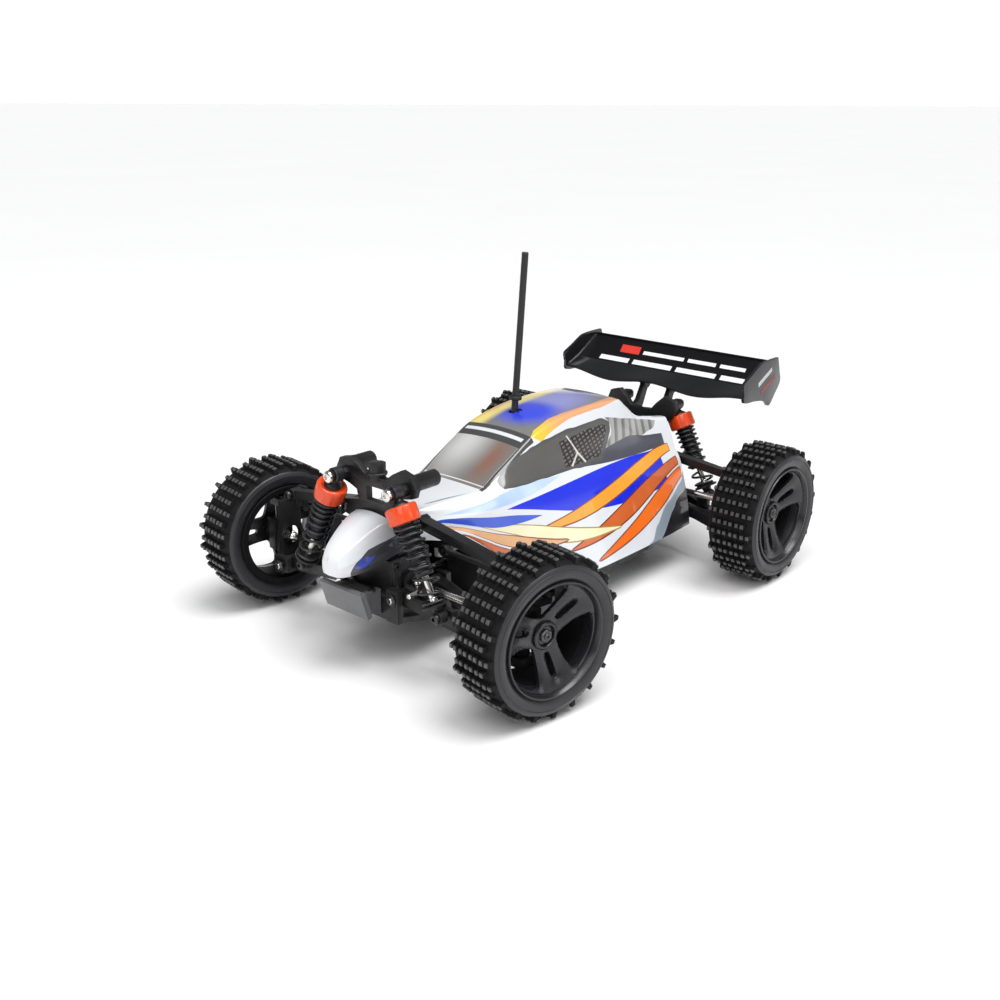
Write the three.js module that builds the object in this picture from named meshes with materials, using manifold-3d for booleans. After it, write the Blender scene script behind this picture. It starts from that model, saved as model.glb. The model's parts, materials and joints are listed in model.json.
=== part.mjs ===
// Four-wheel-drive electric off-road buggy, about 1:18 scale, as an assembly of separate pieces.
// Millimetres. +Z is up, the ground is z = 0, the nose points to -Y, the car's left side is +X.
// Piece coordinates are written from the point on the ground midway between the two axles;
// the whole group is then shifted along Y so that the origin is under the middle of the car.
import * as THREE from 'three';
import { mergeVertices } from 'three/addons/utils/BufferGeometryUtils.js';
import Module from 'manifold-3d';

const wasm = await Module();
wasm.setup();

// ---------------------------------------------------------------- driving dimensions (mm)
const CENTRE_Y = 5.4;            // mid-wheelbase to the middle of the overall length
const WHEELBASE = 170.2;
const AXLE_Z = 32.5;             // tyre radius, so the axle height
const FRONT_Y = -WHEELBASE / 2;
const REAR_Y = WHEELBASE / 2;
const FRONT_WHEEL_X = 78.5;      // wheel mid-plane
const REAR_WHEEL_X = 75.5;
const KINGPIN_X = 70.4;
const STEER_REST = 8.4;          // front wheels are turned to the car's right, degrees
const TOE_IN = 1.0;
const TYRE_R = 32.5;
const RIM_LIP_R = 22.9;
const RIM_HALF_W = 11.9;
const GAP = 0.3;

// front suspension points, car's left side, as [x, z]
const FP = [15, 30], FO = [61, 22.5], FU = [18.5, 60], FV = [60.5, 53.5];
const FT = [17, 75], FB = [40, 30], F_SHOCK_Y = -98;
// rear suspension points
const RP = [14, 25.5], RO = [60, 20.5], RU = [13, 50.5], RV = [58, 46];
const RT = [15.5, 71], RB = [38.5, 28.5], R_SHOCK_Y = 98;

// ---------------------------------------------------------------- solids
const solid = (geo) => {
  let g = geo.index ? geo.clone() : geo.clone();
  for (const k of Object.keys(g.attributes)) if (k !== 'position') g.deleteAttribute(k);
  g = mergeVertices(g, 1e-4);
  const pos = new Float32Array(g.attributes.position.array);
  const idx = [];
  const a = g.index.array;
  for (let i = 0; i < a.length; i += 3) {
    if (a[i] !== a[i + 1] && a[i + 1] !== a[i + 2] && a[i] !== a[i + 2]) idx.push(a[i], a[i + 1], a[i + 2]);
  }
  const m = new wasm.Mesh({ numProp: 3, vertProperties: pos, triVerts: new Uint32Array(idx) });
  m.merge();
  return new wasm.Manifold(m);
};
const join = (...s) => s.reduce((a, b) => a.add(b));
const cut = (a, ...s) => s.reduce((p, q) => p.subtract(q), a);
const box = (x0, x1, y0, y1, z0, z1) => {
  const g = new THREE.BoxGeometry(x1 - x0, y1 - y0, z1 - z0);
  g.translate((x0 + x1) / 2, (y0 + y1) / 2, (z0 + z1) / 2);
  return solid(g);
};
// straight round bar between two points
const rod = (p, q, r, seg = 12, r2 = r) => {
  const a = new THREE.Vector3(...p), b = new THREE.Vector3(...q);
  const d = b.clone().sub(a), l = d.length();
  const g = new THREE.CylinderGeometry(r2, r, l, seg);
  g.translate(0, l / 2, 0);
  g.applyQuaternion(new THREE.Quaternion().setFromUnitVectors(new THREE.Vector3(0, 1, 0), d.normalize()));
  g.translate(...p);
  return solid(g);
};
const ball = (p, r, seg = 12) => {
  const g = new THREE.SphereGeometry(r, seg, Math.max(6, seg / 2));
  g.translate(...p);
  return solid(g);
};
const extr = (pts, depth, holes = []) => {
  const s = new THREE.Shape(pts.map((p) => new THREE.Vector2(...p)));
  for (const h of holes) s.holes.push(new THREE.Path(h.map((p) => new THREE.Vector2(...p))));
  return new THREE.ExtrudeGeometry(s, { depth, bevelEnabled: false, curveSegments: 12 });
};
const circle = (cx, cy, r, n = 14) => Array.from({ length: n }, (_, i) =>
  [cx + r * Math.cos((2 * Math.PI * i) / n), cy + r * Math.sin((2 * Math.PI * i) / n)]);
// outline in X,Z extruded along Y
const plateXZ = (pts, y0, y1, holes = []) => {
  const g = extr(pts, y1 - y0, holes);
  g.rotateX(Math.PI / 2);          // x,y,z -> x,-z,y : depth runs along -Y
  g.translate(0, y1, 0);
  return solid(g);
};
// outline in Y,Z extruded along X
const plateYZ = (pts, x0, x1, holes = []) => {
  const g = extr(pts, x1 - x0, holes);
  g.applyMatrix4(new THREE.Matrix4().makeBasis(new THREE.Vector3(0, 1, 0), new THREE.Vector3(0, 0, 1), new THREE.Vector3(1, 0, 0)));
  g.translate(x0, 0, 0);
  return solid(g);
};
// outline in X,Y extruded along Z
const plateXY = (pts, z0, z1, holes = []) => {
  const g = extr(pts, z1 - z0, holes);
  g.translate(0, 0, z0);
  return solid(g);
};
// profile of [r, x] pairs turned about the X axis (closed profile)
const turn = (prof, seg) => {
  const pts = prof.map(([r, x]) => new THREE.Vector2(r, x));
  if (prof[0][0] > 1e-6 || prof[prof.length - 1][0] > 1e-6) pts.push(pts[0].clone());
  const g = new THREE.LatheGeometry(pts, seg);
  g.rotateZ(-Math.PI / 2);
  return g;
};
const geoOf = (m) => {
  const o = m.getMesh();
  const g = new THREE.BufferGeometry();
  g.setAttribute('position', new THREE.BufferAttribute(new Float32Array(o.vertProperties), 3));
  g.setIndex(new THREE.BufferAttribute(new Uint32Array(o.triVerts), 1));
  g.computeVertexNormals();
  return g;
};
const mirrorX = (m) => m.mirror([1, 0, 0]);
const atAxis = (m, mat4) => m.transform(Array.from(mat4.elements));

// ---------------------------------------------------------------- materials
const mat = {
  black: { color: 0x17181b, roughness: 0.55, metalness: 0 },
  gloss: { color: 0x111216, roughness: 0.25, metalness: 0 },
  tyre: { color: 0x1c1d1f, roughness: 0.8, metalness: 0 },
  steel: { color: 0xc9ccd0, roughness: 0.25, metalness: 1 },
  spring: { color: 0x222326, roughness: 0.35, metalness: 0.6 },
  shock: { color: 0x1a1b20, roughness: 0.45, metalness: 0 },
  shell: { color: 0xe8e9ec, roughness: 0.12, metalness: 0 },
  grey: { color: 0x3a3c40, roughness: 0.6, metalness: 0 },
  battery: { color: 0x2452b8, roughness: 0.4, metalness: 0 },
  silver: { color: 0xa8abb0, roughness: 0.35, metalness: 0.9 },
  brass: { color: 0xb9923f, roughness: 0.3, metalness: 1 },
  white: { color: 0xe6e4dd, roughness: 0.5, metalness: 0 },
};
const car = new THREE.Group();
const put = (name, m, k) => {
  const mesh = new THREE.Mesh(geoOf(m), new THREE.MeshStandardMaterial(mat[k]));
  mesh.name = name;
  car.add(mesh);
  return mesh;
};
// a left-side piece and its mirror image
const pair = (base, m, k) => { put(base + '_left', m, k); put(base + '_right', mirrorX(m), k); };

// ---------------------------------------------------------------- wheels (axis +X = outboard)
// three broad spokes with three big openings between them
const tyreSolid = () => solid(turn([
  [21.25, -10.5], [23.3, -10.6], [24.6, -11.9], [26.6, -12.2], [29.2, -11.8], [32.5, -10.2], [32.5, 10.2],
  [29.2, 11.8], [26.6, 12.2], [24.6, 11.9], [23.3, 10.6], [21.25, 10.5]], 28));
const rimSolid = () => {
  const ring = solid(turn([[19.4, -11.9], [RIM_LIP_R, -RIM_HALF_W], [RIM_LIP_R, -10.9], [20.9, -10.9], [20.9, 10.9],
    [RIM_LIP_R, 10.9], [RIM_LIP_R, RIM_HALF_W], [19.4, 9.6]], 20));
  const disc = solid(turn([[0, 0.5], [19.9, 6.6], [19.9, 9.0], [4.6, 4.4], [0, 4.4]], 10));
  const polar = (pts, a0) => pts.map(([r, a]) => [r * Math.cos((a + a0) * Math.PI / 180), r * Math.sin((a + a0) * Math.PI / 180)]);
  const cuts = [-20, 100, 220].map((a0) => plateYZ(polar([[6.6, 0], [13, -33], [18.6, -26], [18.6, 26], [13, 33]], a0), -1, 13));
  const hub = rod([-10.3, 0, 0], [1.0, 0, 0], 2.4, 8);             // spindle that runs in the knuckle
  const hex = rod([-1.9, 0, 0], [1.6, 0, 0], 5.0, 6);
  const nut = rod([4.0, 0, 0], [6.4, 0, 0], 2.8, 6);
  return join(cut(disc, ...cuts), ring, hub, hex, nut);
};
const TY = tyreSolid(), RM = rimSolid();
const frontPlace = (side) => {
  // left: heading turned towards the car's right; the right wheel turns the same way, less the toe
  const a = (-(STEER_REST + side * TOE_IN) * Math.PI) / 180;
  const r = new THREE.Matrix4().makeRotationZ(a);
  const t1 = new THREE.Matrix4().makeTranslation(side * KINGPIN_X, FRONT_Y, AXLE_Z);
  return t1.multiply(r);
};
const off = FRONT_WHEEL_X - KINGPIN_X;
for (const [side, nm] of [[1, 'left'], [-1, 'right']]) {
  const T = side > 0 ? TY : mirrorX(TY), R = side > 0 ? RM : mirrorX(RM);
  const M = frontPlace(side).multiply(new THREE.Matrix4().makeTranslation(side * off, 0, 0));
  put('tyre_front_' + nm, atAxis(T, M), 'tyre');
  put('rim_front_' + nm, atAxis(R, M), 'gloss');
  const Q = new THREE.Matrix4().makeTranslation(side * REAR_WHEEL_X, REAR_Y, AXLE_Z);
  put('tyre_rear_' + nm, atAxis(T, Q), 'tyre');
  put('rim_rear_' + nm, atAxis(R, Q), 'gloss');
}

// ---------------------------------------------------------------- front corner, left side
const armBody = (P, O, plan, th) => {
  // plan outline in X,Y, sheared so that it follows the line from P to O
  const flat = plateXY(plan, -th / 2, th / 2);
  const k = (O[1] - P[1]) / (O[0] - P[0]);
  const sh = new THREE.Matrix4().set(1, 0, 0, 0, 0, 1, 0, 0, k, 0, 1, P[1] - k * P[0], 0, 0, 0, 1);
  return atAxis(flat, sh);
};
const yRod = (P, y0, y1, r, seg = 8) => rod([P[0], y0, P[1]], [P[0], y1, P[1]], r, seg);
{
  const y = FRONT_Y;
  // lower arm: two legs on the inner pin, one barrel on the outer pin, a lug and a pin for the shock
  let arm = armBody(FP, FO, [[15, y - 11], [36, y - 9.1], [52, y - 7.7], [56.6, y - 5.9], [61, y - 5.9], [61, y + 5.9], [50, y + 6.5], [40, y + 9.6], [15, y + 12.9]], 5);
  arm = cut(arm, plateXY([[0, y - 6.4], [22, y - 6.0], [44, y - 4], [47, y], [44, y + 4], [22, y + 7.2], [0, y + 7.8]], 10, 45));
  arm = join(arm, yRod(FP, y - 11.1, y - 6.6, 3.0), yRod(FP, y + 8.1, y + 12.9, 3.0), yRod(FO, y - 5.9, y + 5.9, 3.1), box(37.2, 43.4, y - 9.1, y - 6.3, 25.5, 31.6));
  arm = cut(arm, yRod(FP, y - 20, y + 20, 1.75), yRod(FO, y - 20, y + 20, 1.65));
  arm = join(arm, yRod(FB, y - 15.2, y - 7.5, 1.3, 8));
  pair('lower_arm_front', arm, 'black');

  // hub carrier: a C-shaped plate with a window for the drive shaft, two jaws, two ears and the outer pin
  const kx = KINGPIN_X;
  let c = plateYZ([[y - 7, 16], [y + 7, 16], [y + 7.2, 32], [y + 5.4, 37.6], [y + 5.4, 50], [y - 5.4, 50], [y - 5.4, 37.6], [y - 7.2, 32]], 64.5, 66.6);
  c = cut(c, rod([60, y, AXLE_Z], [70, y, AXLE_Z], 4.9, 14));
  c = join(c, box(64.5, kx + 3.4, y - 3.8, y + 3.8, 46.6, 50), box(64.5, kx + 3.4, y - 3.8, y + 3.8, 15.4, 19.6),
    box(57.6, 66.6, y + 6.3, y + 9.2, 19.2, 25.8), box(57.6, 66.6, y - 9.2, y - 6.3, 19.2, 25.8), box(64.5, 66.6, y - 9.2, y + 9.2, 17.8, 25.8),
    yRod(FO, y - 11.2, y + 10.4, 1.35), box(58.2, 66.6, y + 3.1, y + 5.2, 46.6, 50), box(58.2, 63.2, y + 3.1, y + 5.2, 49, 56), yRod(FV, y - 3.4, y + 3.2, 1.2, 10));
  c = cut(c, rod([kx, y, 10], [kx, y, 60], 1.85, 12));
  pair('hub_carrier_front', c, 'black');

  // upper arm: flat bar with an eye at each end
  const upper = (U, V, w, yc) => {
    const k = (V[1] - U[1]) / (V[0] - U[0]);
    let m = plateXY([[U[0], yc - w], [V[0], yc - w * 0.8], [V[0], yc + w * 0.8], [U[0], yc + w]], -1.9, 1.9);
    m = atAxis(m, new THREE.Matrix4().set(1, 0, 0, 0, 0, 1, 0, 0, k, 0, 1, U[1] - k * U[0], 0, 0, 0, 1));
    m = join(m, yRod(U, yc - w, yc + w, 2.8), yRod(V, yc - w, yc + w, 2.8));
    return cut(m, yRod(U, yc - 9, yc + 9, 1.6, 10), yRod(V, yc - 9, yc + 9, 1.6, 10));
  };
  pair('upper_arm_front', upper(FU, FV, 2.6, y), 'black');

  // drive shaft with a ball at each end, from the differential to the wheel axle
  const shaft = (x0, x1, yc) => join(rod([x0, yc, AXLE_Z], [x1, yc, AXLE_Z], 1.5, 8), ball([x0 + 1.2, yc, AXLE_Z], 2.2, 10), ball([x1 - 1.2, yc, AXLE_Z], 2.2, 10));
  pair('drive_shaft_front', shaft(13.6, 65.2, y), 'steel');

  // steering knuckle: kingpin barrel, bearing housing and steering arm with its ball pin
  for (const [side, nm] of [[1, 'left'], [-1, 'right']]) {
    let k = join(rod([0, 0, 20.1 - AXLE_Z], [0, 0, 46.1 - AXLE_Z], 3.2, 12), rod([0, 0, 15.9 - AXLE_Z], [0, 0, 49.6 - AXLE_Z], 1.5, 8),
      box(0, 5.6, -4.6, 4.6, -7.5, 7.0), box(-1.5, 1.5, 2, 13.6, 4.9, 7.9), rod([0, 12, 4.9], [0, 12, 11.6], 0.8, 10));
    k = cut(k, rod([-10, 0, 0], [12, 0, 0], 2.8, 12));
    if (side < 0) k = mirrorX(k);
    put('steering_knuckle_' + nm, atAxis(k, frontPlace(side)), 'black');
  }

  // ---------------------------------------------------------------- rear corner
  const r = REAR_Y;
  let ra = armBody(RP, RO, [[14, 84.2], [40, 82.4], [52, 79.4], [60, 79.2], [60, 91], [52, 91.6], [42.5, 93.4], [28, 100], [14, 102.9]], 5);
  ra = cut(ra, plateXY([[0, 89.2], [22, 89], [42, 86.6], [45, 88.6], [30, 94.6], [20, 97.6], [0, 98.2]], 5, 45));
  ra = join(ra, yRod(RP, 84.2, 88.6, 2.9), yRod(RP, 98.2, 102.9, 2.9), yRod(RO, r - 5.9, r + 5.9, 3.1), box(35.4, 41.6, 91.4, 94.1, 21, 30.0));
  ra = cut(ra, yRod(RP, 70, 120, 1.75), yRod(RO, 70, 110, 1.65), box(33, 48, 95.4, 101, 24.9, 40));
  ra = join(ra, yRod(RB, 93, 100.3, 1.3, 8));
  pair('lower_arm_rear', ra, 'black');

  // rear upright: plate with two ears, bearing housing and upper lug
  let u = plateYZ([[r - 7, 15.5], [r + 7, 15.5], [r + 7.2, 32], [r + 5.4, 42], [r + 5.4, 44], [r - 5.4, 44], [r - 5.4, 42], [r - 7.2, 32]], 63.4, 66.4);
  u = join(u, rod([63.4, r, AXLE_Z], [73.0, r, AXLE_Z], 6.2, 16), box(56.6, 66.4, r + 6.3, r + 9.2, 17.2, 23.8), box(56.6, 66.4, r - 9.2, r - 6.3, 17.2, 23.8),
    box(63.4, 66.4, r - 9.2, r + 9.2, 17.4, 23.8), yRod(RO, r - 11, r + 10.4, 1.35), box(55.6, 66.4, r + 3.1, r + 5.2, 40, 48.4), yRod(RV, r - 3.4, r + 3.2, 1.2, 10));
  u = cut(u, rod([60, r, AXLE_Z], [66.4, r, AXLE_Z], 4.0, 14), rod([60, r, AXLE_Z], [80, r, AXLE_Z], 2.8, 12));
  pair('rear_upright', u, 'black');
  pair('upper_link_rear', upper(RU, RV, 2.4, r), 'black');
  pair('drive_shaft_rear', shaft(13.6, 62.4, r), 'steel');

  // ---------------------------------------------------------------- shock absorbers
  const shock = (T, B, yc) => {
    const dx = B[0] - T[0], dz = B[1] - T[1], L = Math.hypot(dx, dz);
    const ex = new THREE.Vector3(-dz / L, 0, dx / L), ey = new THREE.Vector3(0, 1, 0), ez = new THREE.Vector3(-dx / L, 0, -dz / L);
    const M = new THREE.Matrix4().makeBasis(ex, ey, ez).setPosition(T[0], yc, T[1]);
    // local: the top eye at the origin, the damper runs down -Z to the lower eye at -L
    let body = join(rod([0, 0, -33.5], [0, 0, -5.4], 3.9, 10), rod([0, 0, -12.2], [0, 0, -5.2], 6.5, 16), rod([0, 0, -5.2], [0, 0, -2.2], 2.9, 10, 1.8),
      rod([0, -2.2, 0], [0, 2.2, 0], 3.1, 12));
    body = cut(body, rod([0, -6, 0], [0, 6, 0], 1.85, 8), rod([0, 0, -34], [0, 0, -16], 1.75, 8));
    let sh = join(rod([0, 0, -L + 2.3], [0, 0, -22], 1.4, 8), rod([0, -2.0, -L], [0, 2.0, -L], 2.8, 12), rod([0, 0, -L + 2.1], [0, 0, -L + 4.4], 2.6, 8),
      rod([0, 0, -L + 4.2], [0, 0, -L + 5.4], 5.6, 14));
    sh = cut(sh, rod([0, -6, -L], [0, 6, -L], 2.0, 8));
    const turns = 7, z0 = -12.9 - 0.5, z1 = -L + 6.3, n = Math.round(turns * 8);
    const pts = Array.from({ length: n + 1 }, (_, i) => {
      const a = (i / n) * turns * 2 * Math.PI;
      return new THREE.Vector3(5.2 * Math.cos(a), 5.2 * Math.sin(a), z0 + (z1 - z0) * (i / n));
    });
    const shp = new THREE.Shape(Array.from({ length: 4 }, (_, i) => new THREE.Vector2(0.66 * Math.cos(i * Math.PI / 2), 0.66 * Math.sin(i * Math.PI / 2))));
    const spring = solid(new THREE.ExtrudeGeometry(shp, { steps: n, bevelEnabled: false, extrudePath: new THREE.CatmullRomCurve3(pts) }));
    return [atAxis(body, M), atAxis(sh, M), atAxis(spring, M)];
  };
  const F = shock(FT, FB, F_SHOCK_Y), R = shock(RT, RB, R_SHOCK_Y);
  pair('shock_body_front', F[0], 'shock'); pair('shock_rod_front', F[1], 'steel'); pair('shock_spring_front', F[2], 'spring');
  pair('shock_body_rear', R[0], 'shock'); pair('shock_rod_rear', R[1], 'steel'); pair('shock_spring_rear', R[2], 'spring');
}

// ---------------------------------------------------------------- chassis
const sym = (half) => [...half, ...half.slice().reverse().filter(([x]) => x > 1e-6).map(([x, y]) => [-x, y])];
{
  let ch = plateXY(sym([[18, -63], [31, -40], [35, -20], [36, 20], [35, 50], [30, 66], [18, 76]]), 12, 14.5);
  const wall = cut(plateXY(sym([[18, -63], [31, -40], [35, -20], [36, 20], [35, 50], [30, 66], [18, 76]]), 14.4, 22), plateXY(sym([[15.5, -70], [29, -40], [33.2, -20], [34.2, 20], [33.2, 50], [28.4, 64.6], [15, 90]]), 13, 30));
  const kick = plateYZ([[-63.5, 12], [-99.6, 20.5], [-99.6, 23], [-62.5, 14.5]], -18, 18);
  const tail = plateYZ([[74, 12], [106.4, 13.6], [106.4, 16.1], [74, 14.5]], -18, 18);
  const post = (x, y0, y1, z0, z1) => box(x - 3.2, x + 3.2, y0, y1, z0, z1);
  const posts = [];
  for (const s of [-1, 1]) {
    posts.push(post(s * FP[0], -99.6, -96.6, 20, 34), post(s * FP[0], -71.8, -69, 13.5, 33.4), post(s * RP[0], 80.8, 83.8, 14, 29), post(s * RP[0], 103.4, 106.4, 14, 29));
  }
  const front = box(-12, 12, -99.6, -96.6, 21, 31);
  const cradle = join(box(-27, -3.5, 20, 23, 14, 18), box(-27, -3.5, 37, 40, 14, 18));
  ch = join(ch, wall, kick, tail, ...posts, front, cradle);
  // the inner hinge pins are pressed into the posts
  const pins = [];
  for (const s of [-1, 1]) pins.push(yRod([s * FP[0], FP[1]], -100.2, -91.8, 1.4), yRod([s * FP[0], FP[1]], -77.2, -68.6, 1.4), yRod([s * RP[0], RP[1]], 80.4, 106.8, 1.4));
  ch = cut(join(ch, ...pins), rod([-15, 10, 28.5], [-15, 60, 28.5], 12.4, 18));
  put('chassis', ch, 'grey');

  // front bumper: a sloping plate on two ribs
  let b = plateYZ([[-113.3, 35.2], [-109.8, 23.8], [-107.4, 24.4], [-110.9, 35.8]], -12.3, 12.3);
  for (const s of [-1, 1]) b = join(b, plateYZ([[-110.8, 33.8], [-108.6, 25], [-99.9, 22.4], [-99.9, 33.4]], s > 0 ? 6.5 : -9, s > 0 ? 9 : -6.5));
  b = join(b, box(-9, 9, -102.6, -99.9, 23.2, 32));
  put('front_bumper', b, 'grey');

  // gearboxes
  const bossF = join(rod([10, FRONT_Y, AXLE_Z], [12.4, FRONT_Y, AXLE_Z], 5, 14), rod([-12.4, FRONT_Y, AXLE_Z], [-10, FRONT_Y, AXLE_Z], 5, 14));
  put('front_gearbox', join(box(-10.6, 10.6, -96, -74, 24.6, 44), box(-9, 9, -89.5, -74, 43, 56), bossF), 'black');
  const bossR = join(rod([10, REAR_Y, AXLE_Z], [12.4, REAR_Y, AXLE_Z], 3.3, 12), rod([-12.4, REAR_Y, AXLE_Z], [-10, REAR_Y, AXLE_Z], 3.3, 12));
  put('rear_gearbox', join(box(-10.4, 10.4, 70.5, 102.8, 17, 42), box(-9, 9, 70.5, 89.6, 41, 54), bossR), 'black');

  // front shock tower with the body post, the rear standoffs, the shock screws and the upper arm pins
  const slotF = [[-5, 66], [5, 66], [5, 72], [-5, 72]];
  const relief = (m, T, B, yc) => {
    const d = Math.hypot(B[0] - T[0], B[1] - T[1]), u = [(B[0] - T[0]) / d, (B[1] - T[1]) / d];
    const at = (s, k) => [s * (T[0] + u[0] * k), yc, T[1] + u[1] * k];
    return cut(m, rod(at(1, 4.6), at(1, 34), 7.0, 14), rod(at(-1, 4.6), at(-1, 34), 7.0, 14));
  };
  let tw = plateXZ(sym([[0, 44.3], [8, 44.3], [8, 56.4], [16, 56.6], [22, 58], [22, 62.4], [16, 63.6], [10, 65], [11, 69], [15, 70.5], [21.5, 72], [22.8, 76], [20.5, 80.5], [14.5, 82], [10, 79.5], [6, 76.5], [0, 76.5]]), -92.8, -89.8, [slotF]);
  tw = relief(tw, FT, FB, F_SHOCK_Y);
  tw = join(tw, rod([0, -91.3, 75], [0, -91.3, 82], 3.5, 16));
  for (const s of [-1, 1]) {
    tw = join(tw, yRod([s * 18.4, 76.8], -90, -78, 3.4, 14), yRod([s * FT[0], FT[1]], -102, -92, 1.5, 8), yRod([s * FT[0], FT[1]], -95.5, -92, 2.7, 10), yRod([s * FT[0], FT[1]], -102.2, -100.6, 2.6, 10),
      yRod([s * FU[0], FU[1]], -90, -81.6, 1.2, 10));
  }
  put('front_shock_tower', tw, 'black');
  let tr = plateXZ(sym([[0, 42.3], [9, 42.3], [9, 48.5], [15.5, 48.3], [16.5, 52.8], [9, 55], [9, 60], [14, 63], [19, 66], [20.8, 70.5], [19, 75], [13.5, 76.5], [9, 72.5], [6, 69], [0, 68.5]]), 90, 93);
  tr = relief(tr, RT, RB, R_SHOCK_Y);
  for (const s of [-1, 1]) {
    tr = join(tr, yRod([s * RT[0], RT[1]], 92, 102, 1.5, 8), yRod([s * RT[0], RT[1]], 92, 95.5, 2.7, 10), yRod([s * RT[0], RT[1]], 100.6, 102.2, 2.6, 10),
      yRod([s * RU[0], RU[1]], 81.4, 91, 1.2, 10));
  }
  put('rear_shock_tower', tr, 'black');

  // wing mount: two blades and a cross bar
  const blade = [[93.3, 60], [93.3, 67.5], [98, 70], [104.4, 81.4], [111.6, 86], [112, 84], [106.5, 76], [102.5, 67], [98, 60]];
  put('wing_mount', join(plateYZ(blade, 6.8, 9.4), plateYZ(blade, -9.4, -6.8), box(-9.4, 9.4, 93.3, 96, 62, 66.6)), 'black');

  // rear wing: curved blade with a waved leading edge, and two end plates
  const wz = (y) => 79.9 + (y - 97) * 0.56 + 0.0006 * (y - 97) ** 2;
  const wave = (x) => { const t = Math.abs(x) / 54; return 1.5 * Math.cos(t * Math.PI * 2.05) - 0.4 + 0.9 * t; };
  const xs = Array.from({ length: 13 }, (_, i) => -53.8 + (107.6 * i) / 12);
  const ysw = [97, 101, 106, 111, 117, 123.4];
  const ring = (x) => {
    const up = ysw.map((y, i) => [y, wz(y) + (i === 0 ? wave(x) : i === 1 ? 0.6 * wave(x) : 0)]);
    const lo = ysw.slice().reverse().map((y) => { const i = ysw.indexOf(y); return [y, wz(y) - 1.5 + (i === 0 ? wave(x) - 0.3 : i === 1 ? 0.6 * wave(x) : 0)]; });
    return [...up, ...lo];
  };
  const V = [], I = [];
  const rings = xs.map(ring), nr = rings[0].length;
  rings.forEach((rg, i) => rg.forEach(([y, z]) => V.push(xs[i], y, z)));
  for (let i = 0; i < xs.length - 1; i++) for (let j = 0; j < nr; j++) {
    const a = i * nr + j, b2 = i * nr + (j + 1) % nr, c2 = a + nr, d2 = b2 + nr;
    I.push(a, d2, b2, a, c2, d2);
  }
  for (let j = 1; j < nr - 1; j++) { I.push(0, j, j + 1); const o = (xs.length - 1) * nr; I.push(o, o + j + 1, o + j); }
  const wg = new THREE.BufferGeometry();
  wg.setAttribute('position', new THREE.Float32BufferAttribute(V, 3)); wg.setIndex(I);
  let wing = solid(wg);

  const ep = [[95.3, 88], [103, 92], [112, 96], [126.4, 96.6], [127.5, 96], [131, 84], [121.5, 73.2], [114, 77], [97, 79]];
  wing = join(wing, plateYZ(ep, 53.6, 55.2), plateYZ(ep, -55.2, -53.6));
  put('rear_wing', wing, 'gloss');

  // antenna tube, from the chassis up through the roof
  put('antenna_tube', rod([-5.1, -8.9, 14.8], [-2.8, 1.2, 155], 1.6, 14), 'black');

  // power train on the chassis
  put('battery_pack', cut(box(4, 29, -30, 36, 14.9, 33), box(3, 33, -8.4, -7.6, 31.6, 34), box(3, 33, 13.6, 14.4, 31.6, 34)), 'battery');
  put('speed_controller', join(box(-31, -9.5, -30, 2, 14.9, 30), ...[0, 1, 2, 3, 4, 5].map((i) => box(-29, -11.5, -27 + i * 4.6, -25.2 + i * 4.6, 29.5, 34))), 'silver');
  put('motor', cut(join(rod([-15, 13, 28.5], [-15, 44, 28.5], 12, 18), rod([-15, 10.5, 28.5], [-15, 13.5, 28.5], 4, 14)), rod([-15, 40, 28.5], [-15, 60, 28.5], 3, 14)), 'silver');
  const gear = (n, m, cx, cz, y0, y1, ph) => {
    const pts = [];
    const rp = (n * m) / 2, ra2 = rp + 0.42, rd = rp - 0.62, p = (2 * Math.PI) / n;
    for (let i = 0; i < n; i++) {
      const a = ph + i * p;
      for (const [f, rr] of [[-0.30, rd], [-0.14, ra2], [0.14, ra2], [0.30, rd]]) pts.push([cx + rr * Math.cos(a + f * p), cz + rr * Math.sin(a + f * p)]);
    }
    return plateXZ(pts, y0, y1);
  };
  put('pinion_gear', join(gear(8, 0.75, -15, 28.5, 45.6, 50.4, 0), rod([-15, 41, 28.5], [-15, 45.8, 28.5], 1.2, 10)), 'brass');
  let spur = gear(32, 0.75, 0, 28.5, 45.8, 50.2, Math.PI + Math.PI / 32);
  spur = join(cut(spur, rod([0, 40, 28.5], [0, 60, 28.5], 3.4, 12)), cut(rod([0, 44.6, 28.5], [0, 51.6, 28.5], 4.4, 16), rod([0, 40, 28.5], [0, 60, 28.5], 1.8, 12)));
  put('spur_gear', spur, 'white');
  put('centre_drive_shaft', rod([0, -73.6, 28.5], [0, 70.1, 28.5], 1.5, 10), 'steel');

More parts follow.
